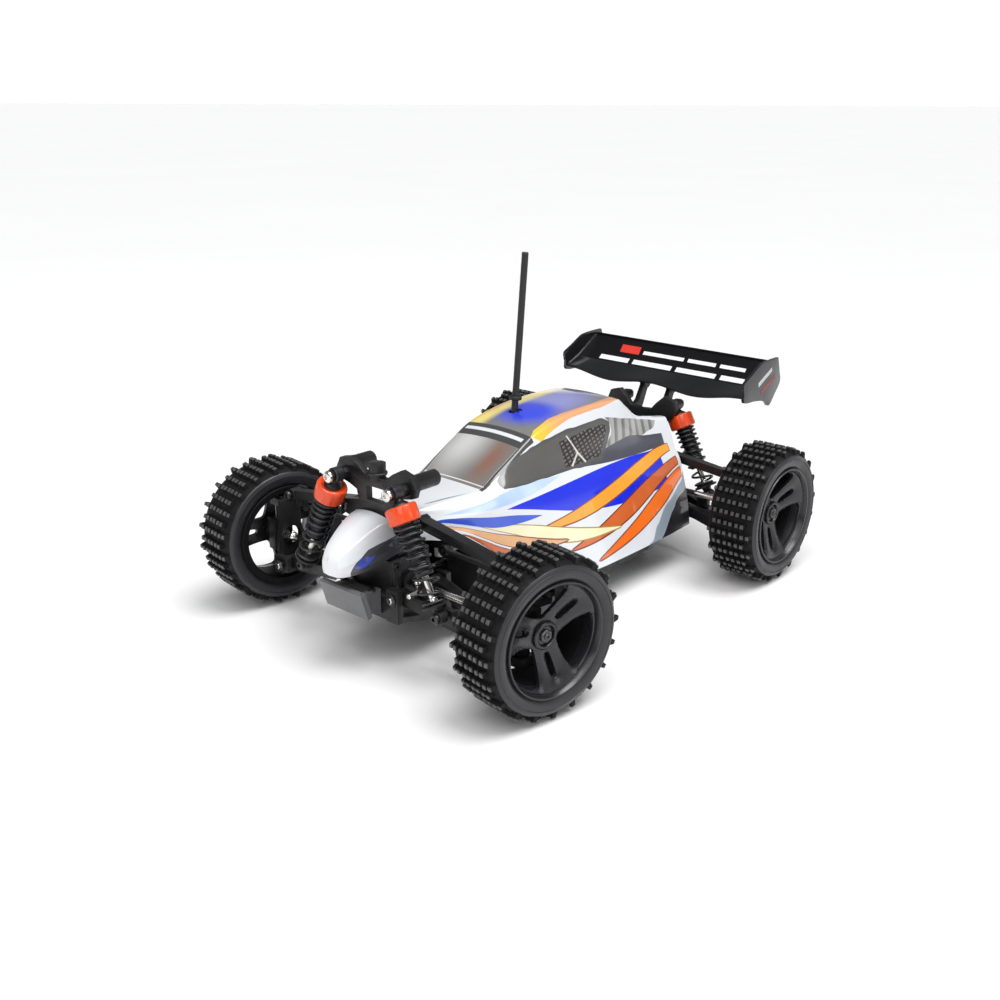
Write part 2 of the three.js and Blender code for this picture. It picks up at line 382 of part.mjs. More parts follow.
  // steering: servo with its arm, the cross link and the two tie rods
  put('steering_servo', join(box(2.4, 20.4, -55, -43, 14.9, 33.5), box(4, 13, -54, -46, 33.2, 35), rod([8, -50, 34], [8, -50, 37.6], 2.2, 12)), 'black');
  const hornTip = [8 + 1.75, -50 - 16.91];
  let horn = join(rod([8, -50, 38.0], [8, -50, 42.0], 4, 16), rod([hornTip[0], hornTip[1], 38.0], [hornTip[0], hornTip[1], 41.9], 2.3, 12), rod([hornTip[0], hornTip[1], 40], [hornTip[0], hornTip[1], 46.2], 1.1, 10),
    plateXY([[5.2, -51], [10.8, -50], [hornTip[0] + 1.9, hornTip[1]], [hornTip[0] - 1.9, hornTip[1]]], 38.0, 41.0));
  put('servo_arm', horn, 'white');
  const rx = 1.75;
  let rack = box(rx - 14.2, rx + 14.2, -70, -64.2, 42.4, 45.4);
  rack = cut(rack, box(hornTip[0] - 1.5, hornTip[0] + 1.5, hornTip[1] - 1.7, hornTip[1] + 2.1, 40, 50));
  rack = join(rack, box(rx + 14, rx + 17.6, -70, -68.4, 42.4, 45.6), box(rx - 17.6, rx - 14, -70, -68.4, 42.4, 45.6),
    yRod([rx + 16, 44], -73.6, -69.5, 1.1, 10), yRod([rx - 16, 44], -73.6, -69.5, 1.1, 10));
  put('steering_link', rack, 'black');
  for (const [s, nm] of [[1, 'left'], [-1, 'right']]) {
    const a = (-(STEER_REST + s * TOE_IN) * Math.PI) / 180;
    const bx = s * KINGPIN_X - 12 * Math.sin(a), by = FRONT_Y + 12 * Math.cos(a), ix = rx + s * 16, iy = -72;
    let t = join(rod([ix, iy, 44], [bx, by, 42.1], 1.2, 8), yRod([ix, 44], -73.4, -70.5, 2.5, 12), rod([bx, by, 41.0], [bx, by, 43.2], 3.15, 14));
    t = cut(t, yRod([ix, 44], -80, -60, 1.5, 10), rod([bx, by, 38], [bx, by, 48], 2.3, 14));
    put('tie_rod_' + nm, t, 'black');
  }
}

// ---------------------------------------------------------------- body shell
// half sections: y, roof centre z, then the roof edge, belt, side and lower edge as x, z
const K = [
  [-118.8, 48.6, 0.0, 48.2, 0.0, 46.0, 0.0, 44.0, 0.0, 42.6],
  [-117.6, 50.8, 3.4, 49.4, 4.6, 46.8, 4.8, 44.4, 4.4, 42.3],
  [-115, 53.0, 5.2, 51.6, 6.6, 48.4, 6.9, 45.4, 6.6, 42.4],
  [-111, 55.8, 6.6, 54.2, 8.4, 50.2, 8.9, 46.6, 8.8, 43.0],
  [-105, 59.2, 8.0, 57.6, 10.2, 52.8, 10.9, 48.6, 11.0, 44.4],
  [-98, 61.9, 9.2, 60.4, 12.0, 55.2, 12.9, 51.0, 13.1, 47.0],
  [-91, 62.6, 10.0, 61.3, 13.0, 56.6, 14.1, 52.8, 14.5, 49.0],
  [-83, 62.9, 10.6, 61.8, 13.2, 58.0, 14.0, 54.6, 14.4, 50.0],
  [-74, 63.3, 12.2, 62.4, 15.6, 58.8, 17.0, 54.4, 17.8, 48.6],
  [-65, 63.9, 14.2, 63.0, 18.6, 59.2, 20.8, 52.6, 22.0, 46.2],
  [-56, 64.3, 16.2, 63.5, 21.6, 60.0, 24.6, 50.0, 26.4, 39.0],
  [-50, 64.7, 17.4, 64.1, 23.2, 61.0, 26.8, 48.6, 29.2, 33.5],
  [-40, 70.4, 17.9, 69.4, 24.4, 62.8, 29.6, 47.4, 33.0, 27.0],
  [-30, 75.8, 18.1, 74.6, 25.1, 63.7, 32.0, 46.4, 36.4, 22.8],
  [-19.6, 81.2, 18.1, 79.8, 25.6, 64.2, 33.5, 45.4, 39.4, 20.6],
  [-7, 84.6, 17.7, 83.1, 26.0, 64.4, 34.6, 44.6, 41.6, 19.8],
  [8, 86.2, 17.3, 85.0, 26.3, 64.2, 35.2, 44.2, 42.6, 19.5],
  [26, 86.5, 17.0, 85.5, 26.2, 63.4, 35.3, 44.0, 42.8, 19.5],
  [46, 85.2, 16.8, 84.3, 25.8, 61.8, 35.0, 43.8, 42.6, 19.5],
  [52, 78.5, 17.2, 80.0, 25.8, 61.0, 34.8, 43.6, 42.4, 19.5],
  [60, 68.0, 18.0, 73.8, 25.9, 60.0, 34.6, 43.4, 42.2, 19.5],
  [68, 65.4, 18.8, 71.6, 26.2, 58.8, 34.4, 43.2, 41.8, 19.5],
  [82, 64.8, 20.0, 69.2, 27.2, 56.0, 33.9, 43.0, 41.0, 19.5],
];
// the last section leans forward towards the lower edge
const rearLean = (y, z) => (y > 60 ? y - ((y - 60) / 22) * Math.max(0, (69 - z) / 49.5) ** 1.3 * 5.0 : y);
const section = (k) => {
  const [y, zc, xr, zr, xb, zb, xm, zm, xl, zl] = k;
  const fin = Math.min(1, Math.max(0, (y - 47) / 13));         // the ridge beside the rear deck
  const wr = Math.min(xr, 2.8);
  const p = [[0, zc], [0.5 * xr, zc - (zc - zr) * 0.25 * (1 - fin)],
    [(xr - 3.6) * fin + 0.8 * xr * (1 - fin), zc * fin + (zc - (zc - zr) * 0.62) * (1 - fin)],
    [(xr - wr) * fin + 0.92 * xr * (1 - fin), zr * fin + (zc - (zc - zr) * 0.82) * (1 - fin)],
    [xr, zr]];
  const q = (a, b, t, o) => [a[0] + (b[0] - a[0]) * t + o, a[1] + (b[1] - a[1]) * t + o * 0.35];
  const R1 = [xr, zr], B1 = [xb, zb], M1 = [xm, zm], L1 = [xl, zl];
  p.push(q(R1, B1, 0.5, 0.35 * Math.min(1, xr / 12)), B1, q(B1, M1, 0.5, 0.7 * Math.min(1, xb / 20)), M1, q(M1, L1, 0.5, 0.5 * Math.min(1, xb / 20)), L1);
  return p.map(([x, z]) => [x, rearLean(y, z), z]);
};
{
  const T = 1.0;
  const rows = K.map(section).map((h) => [...h.slice(1).reverse().map(([x, y, z]) => [-x, y, z]), ...h]);
  const m = rows[0].length, n = rows.length;
  const P = (i, j) => new THREE.Vector3(...rows[Math.min(n - 1, Math.max(0, i))][Math.min(m - 1, Math.max(0, j))]);
  const inner = rows.map((row, i) => row.map((_, j) => {
    const du = P(i, j + 1).sub(P(i, j - 1)), dv = P(i + 1, j).sub(P(i - 1, j));
    const nn = dv.cross(du).normalize();
    if (i === 0) return [0, rows[0][j][1] + 2.4, rows[0][j][2] - (j === (m - 1) / 2 ? 0.8 : 0.2)];
    const p = P(i, j), q = p.clone().addScaledVector(nn, T);
    if (i === n - 1) q.y = p.y;
    return [q.x, q.y, q.z];
  }));
  const V = [], I = [];
  rows.forEach((r) => r.forEach((p) => V.push(...p)));
  inner.forEach((r) => r.forEach((p) => V.push(...p)));
  const o = n * m;
  for (let i = 0; i < n - 1; i++) for (let j = 0; j < m - 1; j++) {
    const a = i * m + j, b = a + 1, c = a + m, d = c + 1;
    I.push(a, b, d, a, d, c);
    I.push(o + a, o + d, o + b, o + a, o + c, o + d);
  }
  for (let i = 0; i < n - 1; i++) {          // lower edges
    let a = i * m, c = a + m; I.push(a, c, o + c, a, o + c, o + a);
    a = i * m + m - 1; c = a + m; I.push(a, o + c, c, a, o + a, o + c);
  }
  for (let j = 0; j < m - 1; j++) {          // rear edge, and the line at the nose
    const a = (n - 1) * m + j, b = a + 1; I.push(a, b, o + b, a, o + b, o + a);
  }
  const g = new THREE.BufferGeometry();
  g.setAttribute('position', new THREE.Float32BufferAttribute(V, 3)); g.setIndex(I);
  let shell = solid(g);
  // slot for the shock tower, hole for the antenna
  shell = cut(shell, box(-40, 40, -94.6, -87.6, 55.6, 90), rod([-5.1, -8.9, 14.8], [-2.8, 1.2, 155], 3.0, 14));
  put('body_shell', shell, 'shell');
}

car.position.y = -CENTRE_Y;
export default car;
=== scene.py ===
import bpy, bmesh, math, json
import numpy as np
from mathutils import Vector, Matrix, geometry


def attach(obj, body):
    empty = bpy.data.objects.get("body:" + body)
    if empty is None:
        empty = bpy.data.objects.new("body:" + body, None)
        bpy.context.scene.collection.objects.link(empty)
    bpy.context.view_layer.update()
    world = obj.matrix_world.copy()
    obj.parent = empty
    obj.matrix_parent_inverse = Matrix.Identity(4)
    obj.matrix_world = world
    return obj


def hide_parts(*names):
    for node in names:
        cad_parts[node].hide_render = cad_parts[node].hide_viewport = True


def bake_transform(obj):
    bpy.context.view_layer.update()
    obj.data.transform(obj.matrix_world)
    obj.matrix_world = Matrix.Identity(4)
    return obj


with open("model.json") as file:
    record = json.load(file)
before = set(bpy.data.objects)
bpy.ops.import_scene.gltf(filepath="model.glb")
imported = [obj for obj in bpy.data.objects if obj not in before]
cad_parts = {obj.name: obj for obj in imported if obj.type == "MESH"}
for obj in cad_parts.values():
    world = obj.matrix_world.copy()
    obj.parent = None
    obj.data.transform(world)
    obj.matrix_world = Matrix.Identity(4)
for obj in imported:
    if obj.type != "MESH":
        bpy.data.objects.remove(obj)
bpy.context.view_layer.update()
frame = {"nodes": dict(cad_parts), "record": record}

CY = 5.4                      # mm from the middle of the wheelbase to the row's origin
D2R = math.pi / 180.0
FRONT_Y, REAR_Y, AXLE_Z = -85.1, 85.1, 32.5

# ------------------------------------------------------------------ materials
MATS = {}


def material(name, base, rough=0.5, metal=0.0, coat=0.0, coat_rough=0.08, spec=0.5, var=0.12, scale=90.0,
             rvar=0.12, bump=0.0, bscale=900.0, edge=0.0, base2=None, sheen=0.0, grad=None, stretch=None):
    """Principled material with colour and roughness that vary, a fine bump and, if asked, paler worn edges."""
    m = bpy.data.materials.new(name)
    m.use_nodes = True
    nt = m.node_tree
    N, Lk = nt.nodes, nt.links
    b = N["Principled BSDF"]
    b.inputs["Metallic"].default_value = metal
    b.inputs["Coat Weight"].default_value = coat
    b.inputs["Coat Roughness"].default_value = coat_rough
    b.inputs["Specular IOR Level"].default_value = spec
    if sheen:
        b.inputs["Sheen Weight"].default_value = sheen
    tc = N.new("ShaderNodeTexCoord")
    src = tc.outputs["Object"]
    if stretch:
        mp = N.new("ShaderNodeMapping"); mp.inputs["Scale"].default_value = stretch
        Lk.new(src, mp.inputs["Vector"]); src = mp.outputs["Vector"]
    n1 = N.new("ShaderNodeTexNoise"); n1.inputs["Scale"].default_value = scale; n1.inputs["Detail"].default_value = 4
    Lk.new(src, n1.inputs["Vector"])
    mix = N.new("ShaderNodeMix"); mix.data_type = "RGBA"
    lo = [c * (1 - var) for c in base]; hi = [min(1, c * (1 + var)) for c in base]
    if base2 is not None:
        lo, hi = list(base), list(base2)
    mix.inputs[6].default_value = (*lo, 1); mix.inputs[7].default_value = (*hi, 1)
    if grad:
        # grad = (axis index, start m, end m): a fade along one axis, broken up by the noise
        sep = N.new("ShaderNodeSeparateXYZ"); Lk.new(tc.outputs["Object"], sep.inputs[0])
        mr0 = N.new("ShaderNodeMapRange"); mr0.interpolation_type = "SMOOTHSTEP"
        mr0.inputs["From Min"].default_value = grad[1]; mr0.inputs["From Max"].default_value = grad[2]
        Lk.new(sep.outputs[grad[0]], mr0.inputs["Value"])
        ad = N.new("ShaderNodeMath"); ad.operation = "MULTIPLY_ADD"; ad.inputs[1].default_value = 0.3; ad.inputs[2].default_value = -0.15
        Lk.new(n1.outputs["Fac"], ad.inputs[0])
        ad2 = N.new("ShaderNodeMath"); ad2.operation = "ADD"; ad2.use_clamp = True
        Lk.new(mr0.outputs[0], ad2.inputs[0]); Lk.new(ad.outputs[0], ad2.inputs[1])
        Lk.new(ad2.outputs[0], mix.inputs["Factor"])
    else:
        Lk.new(n1.outputs["Fac"], mix.inputs["Factor"])
    col = mix.outputs[2]
    if edge > 0:
        geo = N.new("ShaderNodeNewGeometry")
        cr = N.new("ShaderNodeMapRange"); cr.inputs["From Min"].default_value = 0.52; cr.inputs["From Max"].default_value = 0.62
        Lk.new(geo.outputs["Pointiness"], cr.inputs["Value"])
        e = N.new("ShaderNodeMix"); e.data_type = "RGBA"
        e.inputs[7].default_value = (*[min(1, c * 2.2 + 0.03) for c in base], 1)
        mu = N.new("ShaderNodeMath"); mu.operation = "MULTIPLY"; mu.inputs[1].default_value = edge
        Lk.new(cr.outputs[0], mu.inputs[0]); Lk.new(mu.outputs[0], e.inputs["Factor"]); Lk.new(col, e.inputs[6])
        col = e.outputs[2]
    Lk.new(col, b.inputs["Base Color"])
    n2 = N.new("ShaderNodeTexNoise"); n2.inputs["Scale"].default_value = scale * 2.3; n2.inputs["Detail"].default_value = 3
    Lk.new(src, n2.inputs["Vector"])
    mr = N.new("ShaderNodeMapRange")
    mr.inputs["To Min"].default_value = max(0.02, rough - rvar); mr.inputs["To Max"].default_value = min(1, rough + rvar)
    mr.inputs["From Min"].default_value = 0.3; mr.inputs["From Max"].default_value = 0.7
    Lk.new(n2.outputs["Fac"], mr.inputs["Value"]); Lk.new(mr.outputs[0], b.inputs["Roughness"])
    if bump:
        n3 = N.new("ShaderNodeTexNoise"); n3.inputs["Scale"].default_value = bscale; n3.inputs["Detail"].default_value = 2
        Lk.new(src, n3.inputs["Vector"])
        bp = N.new("ShaderNodeBump"); bp.inputs["Strength"].default_value = bump; bp.inputs["Distance"].default_value = 0.0002
        Lk.new(n3.outputs["Fac"], bp.inputs["Height"]); Lk.new(bp.outputs[0], b.inputs["Normal"])
    MATS[name] = m
    return m


def paint(name, base, **k):
    """Colour painted on the inside of a clear shell: glossy, very slightly uneven."""
    d = dict(rough=0.34, coat=1.0, coat_rough=0.04, var=0.05, scale=40.0, rvar=0.06, bump=0.05, bscale=260.0)
    d.update(k)
    return material(name, base, **d)


# tread band and knob sides: a darker copy of the tyre rubber, painted shade between and around the knobs
material("rubber_tread", (0.006, 0.006, 0.0065), rough=0.7, var=0.3, scale=160, rvar=0.12, bump=0.4, bscale=1900, spec=0.22)
# knob tops: a lighter copy of the tyre rubber, a painted highlight where the lamps catch them
material("rubber_top", (0.06, 0.06, 0.061), rough=0.42, var=0.35, scale=420, rvar=0.12, bump=0.25, bscale=1900, spec=0.7)
# inside of the rim's barrel and its back: a darker copy of the rim plastic, painted shade
material("rim_inner", (0.004, 0.004, 0.0045), rough=0.6, var=0.2, scale=60, rvar=0.1, bump=0.06, bscale=900, spec=0.15)
material("rubber_wall", (0.019, 0.018, 0.0215), rough=0.4, var=0.2, scale=60, rvar=0.08, bump=0.12, bscale=1300, spec=0.5)
material("rim_gloss", (0.0095, 0.0095, 0.012), rough=0.28, var=0.15, scale=50, rvar=0.05, bump=0.06, bscale=900, edge=0.25, spec=0.55)
material("nylon_black", (0.0065, 0.0065, 0.0075), rough=0.42, var=0.22, scale=120, rvar=0.1, bump=0.22, bscale=1700, edge=0.5, spec=0.36)
material("nylon_black_matt", (0.005, 0.005, 0.0055), rough=0.62, var=0.22, scale=120, rvar=0.1, bump=0.25, bscale=1700, edge=0.3)
material("nylon_grey", (0.0095, 0.0095, 0.0105), rough=0.42, var=0.15, scale=110, rvar=0.09, bump=0.2, bscale=1500, edge=0.5, spec=0.36)
material("bumper_grey", (0.095, 0.096, 0.1), rough=0.36, var=0.12, scale=90, rvar=0.08, bump=0.15, bscale=1200, edge=0.25)
material("steel", (0.80, 0.78, 0.74), rough=0.2, metal=1.0, var=0.12, scale=240, rvar=0.08, bump=0.1, bscale=2400)
material("screw_black", (0.05, 0.05, 0.052), rough=0.35, metal=0.8, var=0.2, scale=300, rvar=0.1, bump=0.15, bscale=2500, edge=0.6)
material("spring_black", (0.01, 0.01, 0.012), rough=0.3, metal=0.15, var=0.2, scale=400, rvar=0.1, bump=0.08, bscale=2500, edge=0.5, spec=0.6)
material("shock_black", (0.0065, 0.0065, 0.009), rough=0.36, var=0.2, scale=150, rvar=0.08, bump=0.1, bscale=1600, edge=0.45)
material("collar_red", (0.76, 0.06, 0.006), rough=0.3, var=0.1, scale=120, rvar=0.08, bump=0.08, bscale=1300, edge=0.18, coat=0.35, coat_rough=0.15)
material("brass", (0.62, 0.42, 0.16), rough=0.3, metal=1.0, var=0.15, scale=300, bump=0.1, bscale=2000)
material("alloy", (0.5, 0.51, 0.53), rough=0.34, metal=0.95, var=0.12, scale=200, bump=0.15, bscale=1500, edge=0.3)
material("can_steel", (0.46, 0.46, 0.45), rough=0.3, metal=1.0, var=0.1, scale=90, bump=0.06, bscale=900, stretch=(1, 14, 1))
material("wrap_blue", (0.02, 0.085, 0.42), rough=0.25, var=0.15, scale=70, rvar=0.08, bump=0.35, bscale=260, coat=0.3)
material("nylon_white", (0.72, 0.7, 0.66), rough=0.45, var=0.06, scale=120, bump=0.12, bscale=1500)
material("wing_gloss", (0.006, 0.0063, 0.008), rough=0.2, var=0.15, scale=60, rvar=0.05, bump=0.05, bscale=700, coat=0.4, coat_rough=0.08, edge=0.3)
material("wing_matt", (0.0028, 0.0028, 0.0036), rough=0.5, var=0.2, scale=80, rvar=0.07, bump=0.1, bscale=1100, spec=0.16)
material("antenna_black", (0.012, 0.012, 0.013), rough=0.42, var=0.2, scale=100, rvar=0.08, bump=0.12, bscale=1400)
material("sticker_white", (0.82, 0.83, 0.84), rough=0.35, var=0.04, scale=90, rvar=0.08, bump=0.1, bscale=900)
material("sticker_red", (0.62, 0.035, 0.025), rough=0.35, var=0.1, scale=90, rvar=0.08, bump=0.1, bscale=900)
material("sticker_grey", (0.5, 0.51, 0.52), rough=0.35, var=0.1, scale=90, rvar=0.08, bump=0.1, bscale=900)
material("strap_red", (0.22, 0.035, 0.028), rough=0.4, var=0.1, scale=90, rvar=0.08, bump=0.1, bscale=900)

paint("white", (0.66, 0.69, 0.73), base2=(0.76, 0.78, 0.80), scale=16)
paint("inside", (0.30, 0.30, 0.31), rough=0.5, coat=0.2, base2=(0.36, 0.36, 0.37))
paint("band", (0.035, 0.035, 0.037), base2=(0.06, 0.06, 0.06))
paint("greyband", (0.15, 0.155, 0.16), base2=(0.21, 0.215, 0.22))
paint("navyband", (0.045, 0.048, 0.075), base2=(0.075, 0.075, 0.095))
paint("blue", (0.002, 0.012, 0.62), base2=(0.006, 0.03, 0.74))
paint("blue2", (0.006, 0.012, 0.36), base2=(0.015, 0.05, 0.55))
paint("royal", (0.015, 0.05, 0.55), base2=(0.04, 0.12, 0.68))
paint("navy", (0.008, 0.012, 0.22), base2=(0.012, 0.02, 0.32))
paint("lightblue", (0.30, 0.46, 0.85), base2=(0.66, 0.78, 0.93), scale=70)
paint("orange", (0.86, 0.30, 0.018), base2=(0.92, 0.42, 0.05), scale=30)
paint("orangered", (0.88, 0.13, 0.008), base2=(0.9, 0.20, 0.015), scale=30)
paint("redorange", (0.50, 0.085, 0.018), base2=(0.72, 0.16, 0.03), scale=55)
paint("peach", (0.66, 0.31, 0.12), base2=(0.78, 0.46, 0.24), scale=60)
paint("yellow", (0.84, 0.52, 0.05), base2=(0.88, 0.66, 0.22), scale=40)
paint("cream", (0.80, 0.72, 0.36), base2=(0.88, 0.86, 0.66), scale=45)
paint("ochre", (0.33, 0.20, 0.03), base2=(0.42, 0.28, 0.05))
paint("maroon", (0.16, 0.035, 0.025), base2=(0.26, 0.07, 0.05), scale=60)
paint("darkred", (0.10, 0.006, 0.006), base2=(0.2, 0.02, 0.012), scale=60)
paint("brick", (0.40, 0.04, 0.015), base2=(0.52, 0.09, 0.03), scale=60)
paint("purple", (0.16, 0.08, 0.30), base2=(0.24, 0.12, 0.36), scale=60)
paint("plum", (0.13, 0.06, 0.17), base2=(0.28, 0.17, 0.36), scale=80)
paint("swoosh", (0.33, 0.33, 0.37), base2=(0.46, 0.46, 0.5), scale=50)
paint("greylilac", (0.36, 0.37, 0.43), base2=(0.46, 0.47, 0.53), scale=50)
paint("greyblue", (0.21, 0.26, 0.31), base2=(0.30, 0.36, 0.41), scale=50)
paint("greyfade", (0.12, 0.125, 0.13), base2=(0.3, 0.31, 0.32), scale=60)
paint("dark", (0.006, 0.006, 0.008), base2=(0.014, 0.014, 0.018))
# nose: grey painted shade over the white, with a painted highlight along the ridge added below
paint("pearl", (0.27, 0.29, 0.32), base2=(0.40, 0.42, 0.44), scale=30)
paint("line", (0.62, 0.62, 0.6), base2=(0.7, 0.7, 0.68))
paint("strap", (0.56, 0.55, 0.5), base2=(0.66, 0.65, 0.6))
paint("winrim", (0.06, 0.062, 0.066), base2=(0.09, 0.092, 0.096))
paint("deck", (0.14, 0.14, 0.145), base2=(0.2, 0.2, 0.2))
paint("nosedark", (0.025, 0.027, 0.032), base2=(0.05, 0.05, 0.056))
paint("nosenavy", (0.03, 0.045, 0.30), base2=(0.05, 0.08, 0.42))
paint("roofedge", (0.86, 0.56, 0.03), base2=(0.74, 0.36, 0.17), grad=(1, -0.022, 0.0))
paint("glass", (0.085, 0.083, 0.078), base2=(0.125, 0.118, 0.11), rough=0.22, scale=22)


def more(name, fn):
    """fn(nodes, links, shader, object coordinates) edits a finished material."""
    m = MATS[name]
    nt = m.node_tree
    tc = [n for n in nt.nodes if n.bl_idname == "ShaderNodeTexCoord"][0]
    fn(nt.nodes, nt.links, nt.nodes["Principled BSDF"], tc)


def ball_fade(N, Lk, tc, centre, r0, r1, squash=(1, 1, 1)):
    """1 inside radius r0 of a point, 0 beyond r1, in metres."""
    mp = N.new("ShaderNodeMapping"); mp.vector_type = "POINT"
    mp.inputs["Scale"].default_value = squash
    mp.inputs["Location"].default_value = [-c * s for c, s in zip(centre, squash)]
    Lk.new(tc.outputs["Object"], mp.inputs["Vector"])
    ln = N.new("ShaderNodeVectorMath"); ln.operation = "LENGTH"; Lk.new(mp.outputs[0], ln.inputs[0])
    mr = N.new("ShaderNodeMapRange"); mr.interpolation_type = "SMOOTHSTEP"
    mr.inputs["From Min"].default_value = r0; mr.inputs["From Max"].default_value = r1
    mr.inputs["To Min"].default_value = 1.0; mr.inputs["To Max"].default_value = 0.0
    Lk.new(ln.outputs["Value"], mr.inputs["Value"])
    return mr.outputs[0]


def over(N, Lk, shader, fac, colour):
    """Mix a colour over whatever drives Base Color."""
    link = shader.inputs["Base Color"].links[0]
    src = link.from_socket
    mx = N.new("ShaderNodeMix"); mx.data_type = "RGBA"; mx.inputs[7].default_value = (*colour, 1)
    Lk.new(fac, mx.inputs["Factor"]); Lk.new(src, mx.inputs[6]); Lk.new(mx.outputs[2], shader.inputs["Base Color"])




# painted highlight: a pale patch along the nose's ridge
def nose_painted_ridge_highlight(N, Lk, b, tc):
    over(N, Lk, b, ball_fade(N, Lk, tc, (-0.001, -0.118, 0.0475), 0.0035, 0.0165, (0.95, 0.36, 0.55)), (0.78, 0.80, 0.83))


more("pearl", nose_painted_ridge_highlight)
paint("roof", (0.15, 0.15, 0.15), base2=(0.24, 0.24, 0.24), scale=18)


def roof_fades(N, Lk, b, tc):
    over(N, Lk, b, ball_fade(N, Lk, tc, (0, 0.012, 0.086), 0.006, 0.024, (1.1, 0.7, 0.3)), (0.27, 0.29, 0.66))
    over(N, Lk, b, ball_fade(N, Lk, tc, (0.001, -0.006, 0.084), 0.005, 0.0145, (0.72, 0.8, 0.3)), (0.02, 0.05, 0.72))
    over(N, Lk, b, ball_fade(N, Lk, tc, (-0.014, 0.0, 0.084), 0.003, 0.008, (1.0, 0.16, 0.3)), (0.86, 0.72, 0.22))


more("roof", roof_fades)

# windscreen: smoked, with a red-brown patch low on one side and a painted highlight, a pale patch high up on the car's
# right
paint("screen", (0.15, 0.145, 0.138), base2=(0.21, 0.205, 0.195), rough=0.2, scale=16)


def screen_tint_and_painted_highlight(N, Lk, b, tc):
    over(N, Lk, b, ball_fade(N, Lk, tc, (0.010, -0.040, 0.070), 0.0, 0.0125, (1.5, 0.6, 0.6)), (0.24, 0.115, 0.08))
    # painted highlight: pale patch high on the car's right
    over(N, Lk, b, ball_fade(N, Lk, tc, (-0.009, -0.036, 0.076), 0.0, 0.019, (1.0, 0.6, 0.6)), (0.56, 0.56, 0.55))


more("screen", screen_tint_and_painted_highlight)

# white nose: grey painted shade over its flanks, with a painted highlight along its ridge
paint("net", (0.16, 0.13, 0.12), rough=0.25)


def net_lines(N, Lk, b, tc):
    """Woven window net: two sets of dark cords over a smoky ground."""
    sep = N.new("ShaderNodeSeparateXYZ"); Lk.new(tc.outputs["Object"], sep.inputs[0])
    fac = None
    for sx, sy, sz, per, duty in ((0, 1.0, 0.25, 0.0030, 0.42), (0, -0.22, 1.0, 0.0017, 0.48)):
        dt = N.new("ShaderNodeVectorMath"); dt.operation = "DOT_PRODUCT"; dt.inputs[1].default_value = (sx, sy / per, sz / per)
        Lk.new(tc.outputs["Object"], dt.inputs[0])
        fr = N.new("ShaderNodeMath"); fr.operation = "FRACT"; Lk.new(dt.outputs["Value"], fr.inputs[0])
        lt = N.new("ShaderNodeMapRange"); lt.inputs["From Min"].default_value = duty - 0.06; lt.inputs["From Max"].default_value = duty + 0.06
        lt.inputs["To Min"].default_value = 1; lt.inputs["To Max"].default_value = 0
        Lk.new(fr.outputs[0], lt.inputs["Value"])
        if fac is None:
            fac = lt.outputs[0]
        else:
            mx = N.new("ShaderNodeMath"); mx.operation = "MAXIMUM"; Lk.new(fac, mx.inputs[0]); Lk.new(lt.outputs[0], mx.inputs[1]); fac = mx.outputs[0]
    over(N, Lk, b, fac, (0.018, 0.018, 0.02))


more("net", net_lines)
paint("louvre", (0.27, 0.265, 0.255), base2=(0.33, 0.325, 0.315))


def louvre_stripes(N, Lk, b, tc):
    dt = N.new("ShaderNodeVectorMath"); dt.operation = "DOT_PRODUCT"; dt.inputs[1].default_value = (0, 1 / 0.0062, -0.35 / 0.0062)
    Lk.new(tc.outputs["Object"], dt.inputs[0])
    fr = N.new("ShaderNodeMath"); fr.operation = "FRACT"; Lk.new(dt.outputs["Value"], fr.inputs[0])
    r = N.new("ShaderNodeValToRGB"); r.color_ramp.elements[0].position = 0.0; r.color_ramp.elements[0].color = (0.13, 0.13, 0.125, 1)
    r.color_ramp.elements[1].position = 1.0; r.color_ramp.elements[1].color = (0.15, 0.15, 0.145, 1)
    e = r.color_ramp.elements.new(0.34); e.color = (0.2, 0.2, 0.195, 1)
    e = r.color_ramp.elements.new(0.42); e.color = (0.35, 0.345, 0.335, 1)
    e = r.color_ramp.elements.new(0.9); e.color = (0.37, 0.365, 0.355, 1)
    Lk.new(fr.outputs[0], r.inputs[0]); Lk.new(r.outputs[0], b.inputs["Base Color"])


more("louvre", louvre_stripes)


# ------------------------------------------------------------------ geometry helpers, in mm from the mid-wheelbase point
def rotx(a): return Matrix.Rotation(a, 4, "X")
def roty(a): return Matrix.Rotation(a, 4, "Y")
def rotz(a): return Matrix.Rotation(a, 4, "Z")
def tr(x, y, z): return Matrix.Translation((x, y, z))


def along(p, q):
    """Matrix whose origin is p and whose +Z runs to q."""
    p, q = Vector(p), Vector(q)
    return Matrix.Translation(p) @ (q - p).to_track_quat("Z", "Y").to_matrix().to_4x4()


class Geo:
    def __init__(self):
        self.v, self.f, self.m, self.names, self.nrm = [], [], [], [], None

    def slot(self, name):
        if name not in self.names:
            self.names.append(name)
        return self.names.index(name)

    def add(self, vf, mat, T=None, flip=False):
        v, f = vf
        o = len(self.v)
        if T is not None:
            v = [T @ Vector(p) for p in v]
            if T.determinant() < 0:
                flip = not flip
        self.v.extend([tuple(p) for p in v])
        if isinstance(mat, str):
            k = self.slot(mat); ms = [k] * len(f)
        else:
            ms = [self.slot(x) for x in mat]
        self.f.extend([tuple(o + i for i in (reversed(q) if flip else q)) for q in f])
        self.m.extend(ms)
        return self


